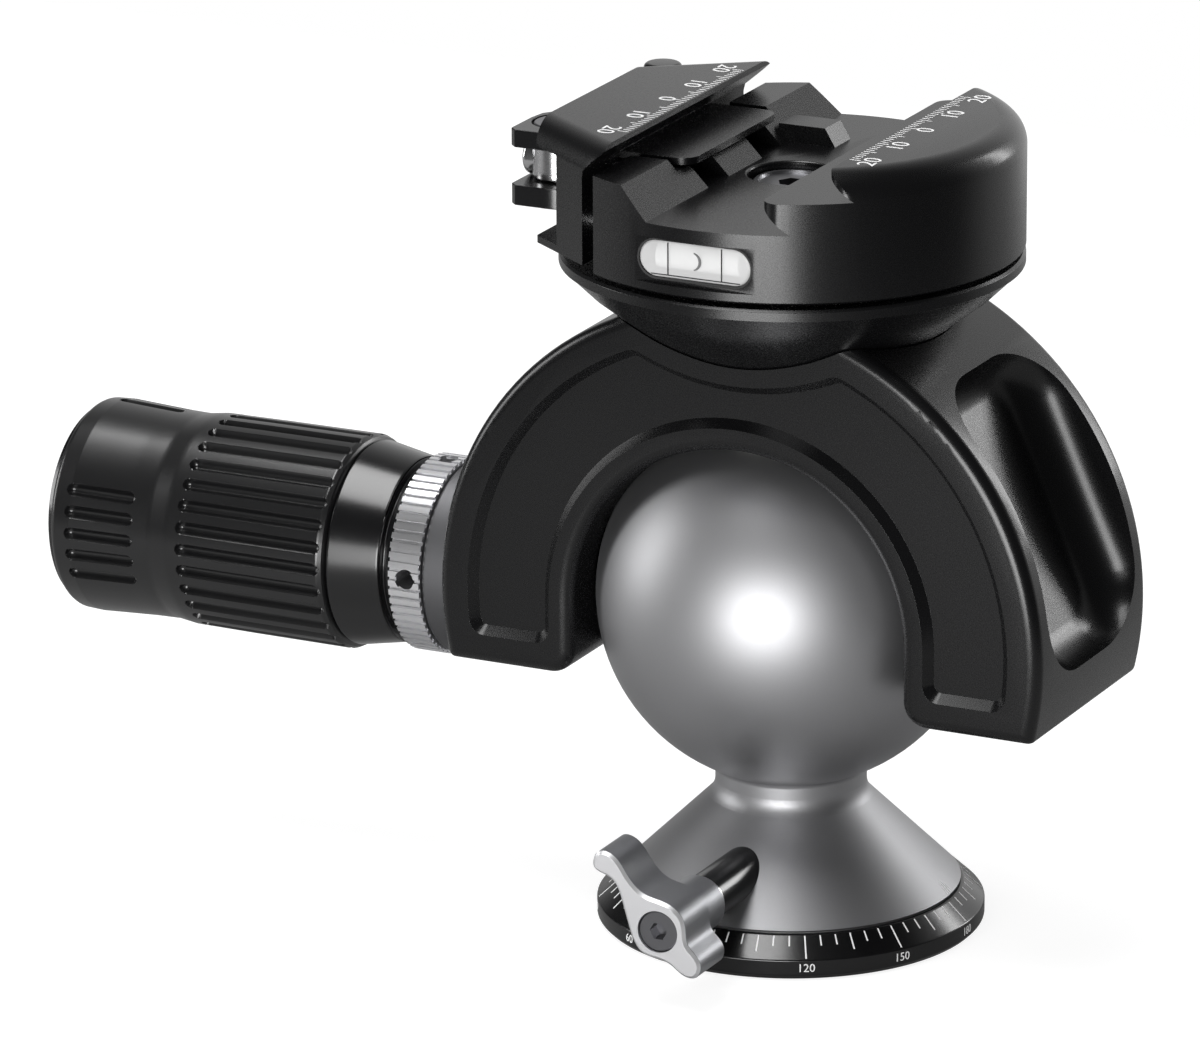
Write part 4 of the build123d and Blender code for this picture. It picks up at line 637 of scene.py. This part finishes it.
MIDDLE = (-0.02, 0, 0.06)
softbox("top_softbox", (-0.2, -0.1, 0.95), MIDDLE, 0.75, 0.36, 7.5)
softbox("front_softbox", (0.13, -0.88, 0.05), MIDDLE, 0.54, 0.42, 9.5)
softbox("left_softbox", (-0.84, -0.25, 0.26), MIDDLE, 0.24, 0.5, 2.6)
softbox("rim_softbox", (0.5, 0.85, 0.38), MIDDLE, 0.14, 0.5, 2.2)

PLAIN_LEVEL, BACKDROP_LEVEL, ROOM_LEVEL = 0.35, 1.0, 0.05
BACKDROP_FROM, BACKDROP_FULL = 0.4, 1.05
FLOOR_GLOW, FLOOR_SHINE = 0.84, 0.08


def seen(tree, kinds):
    """1 on rays of these kinds, else 0."""
    path = add(tree, "ShaderNodeLightPath")
    total = path.outputs[kinds[0]]
    for kind in kinds[1:]:
        both = add(tree, "ShaderNodeMath", {"operation": "MAXIMUM"}, {0: total, 1: path.outputs[kind]})
        total = both.outputs[0]
    return total


def world():
    """A plain dim world. The camera and clear parts see a white backdrop all round, and shiny
    parts see it behind the part and a dim room in front."""
    made = bpy.data.worlds.new("studio")
    made.use_nodes = True
    bpy.context.scene.world = made
    tree = made.node_tree
    place = add(tree, "ShaderNodeTexCoord")
    split = add(tree, "ShaderNodeSeparateXYZ", {}, {"Vector": place.outputs["Generated"]})
    back = add(
        tree,
        "ShaderNodeMapRange",
        {
            "From Min": BACKDROP_FROM,
            "From Max": BACKDROP_FULL,
            "To Min": ROOM_LEVEL,
            "To Max": BACKDROP_LEVEL,
        },
        {"Value": split.outputs["Y"]},
    )
    glossy = seen(tree, ["Is Glossy Ray"])
    shiny = add(tree, "ShaderNodeMix", {2: PLAIN_LEVEL}, {0: glossy, 3: back.outputs[0]})
    level = add(
        tree,
        "ShaderNodeMix",
        {3: BACKDROP_LEVEL},
        {0: seen(tree, ["Is Camera Ray", "Is Transmission Ray"]), 2: shiny.outputs[0]},
    )
    tree.links.new(level.outputs[0], tree.nodes["Background"].inputs["Strength"])
    tree.nodes["Background"].inputs["Color"].default_value = linear("#ffffff")


world()
bpy.context.scene.view_settings.view_transform = "Standard"


def floor():
    """A sheet of grey paper that ends a little way round the part. It glows on camera and transmission
    rays, and less on glossy ones, so that it shows white and keeps the shadow."""
    made = bpy.data.meshes.new("floor")
    left, right, front, back = -0.5, 0.3, -0.3, 0.45
    corners = [(left, front, 0), (right, front, 0), (right, back, 0), (left, back, 0)]
    made.from_pydata(corners, [], [(0, 1, 2, 3)])
    finish, tree, shader = material("floor_paper", {"Base Color": linear("#8c8c8c"), "Roughness": 0.9})
    clear_view = seen(tree, ["Is Camera Ray", "Is Transmission Ray"])
    glossy = seen(tree, ["Is Glossy Ray"])
    faint = add(tree, "ShaderNodeMath", {"operation": "MULTIPLY", 1: FLOOR_SHINE}, {0: glossy})
    glow = add(
        tree,
        "ShaderNodeMath",
        {"operation": "MULTIPLY_ADD", 1: FLOOR_GLOW},
        {0: clear_view, 2: faint.outputs[0]},
    )
    shader.inputs["Emission Color"].default_value = linear("#ffffff")
    tree.links.new(glow.outputs[0], shader.inputs["Emission Strength"])
    made.materials.append(finish)
    ground = bpy.data.objects.new("floor", made)
    bpy.context.scene.collection.objects.link(ground)


floor()
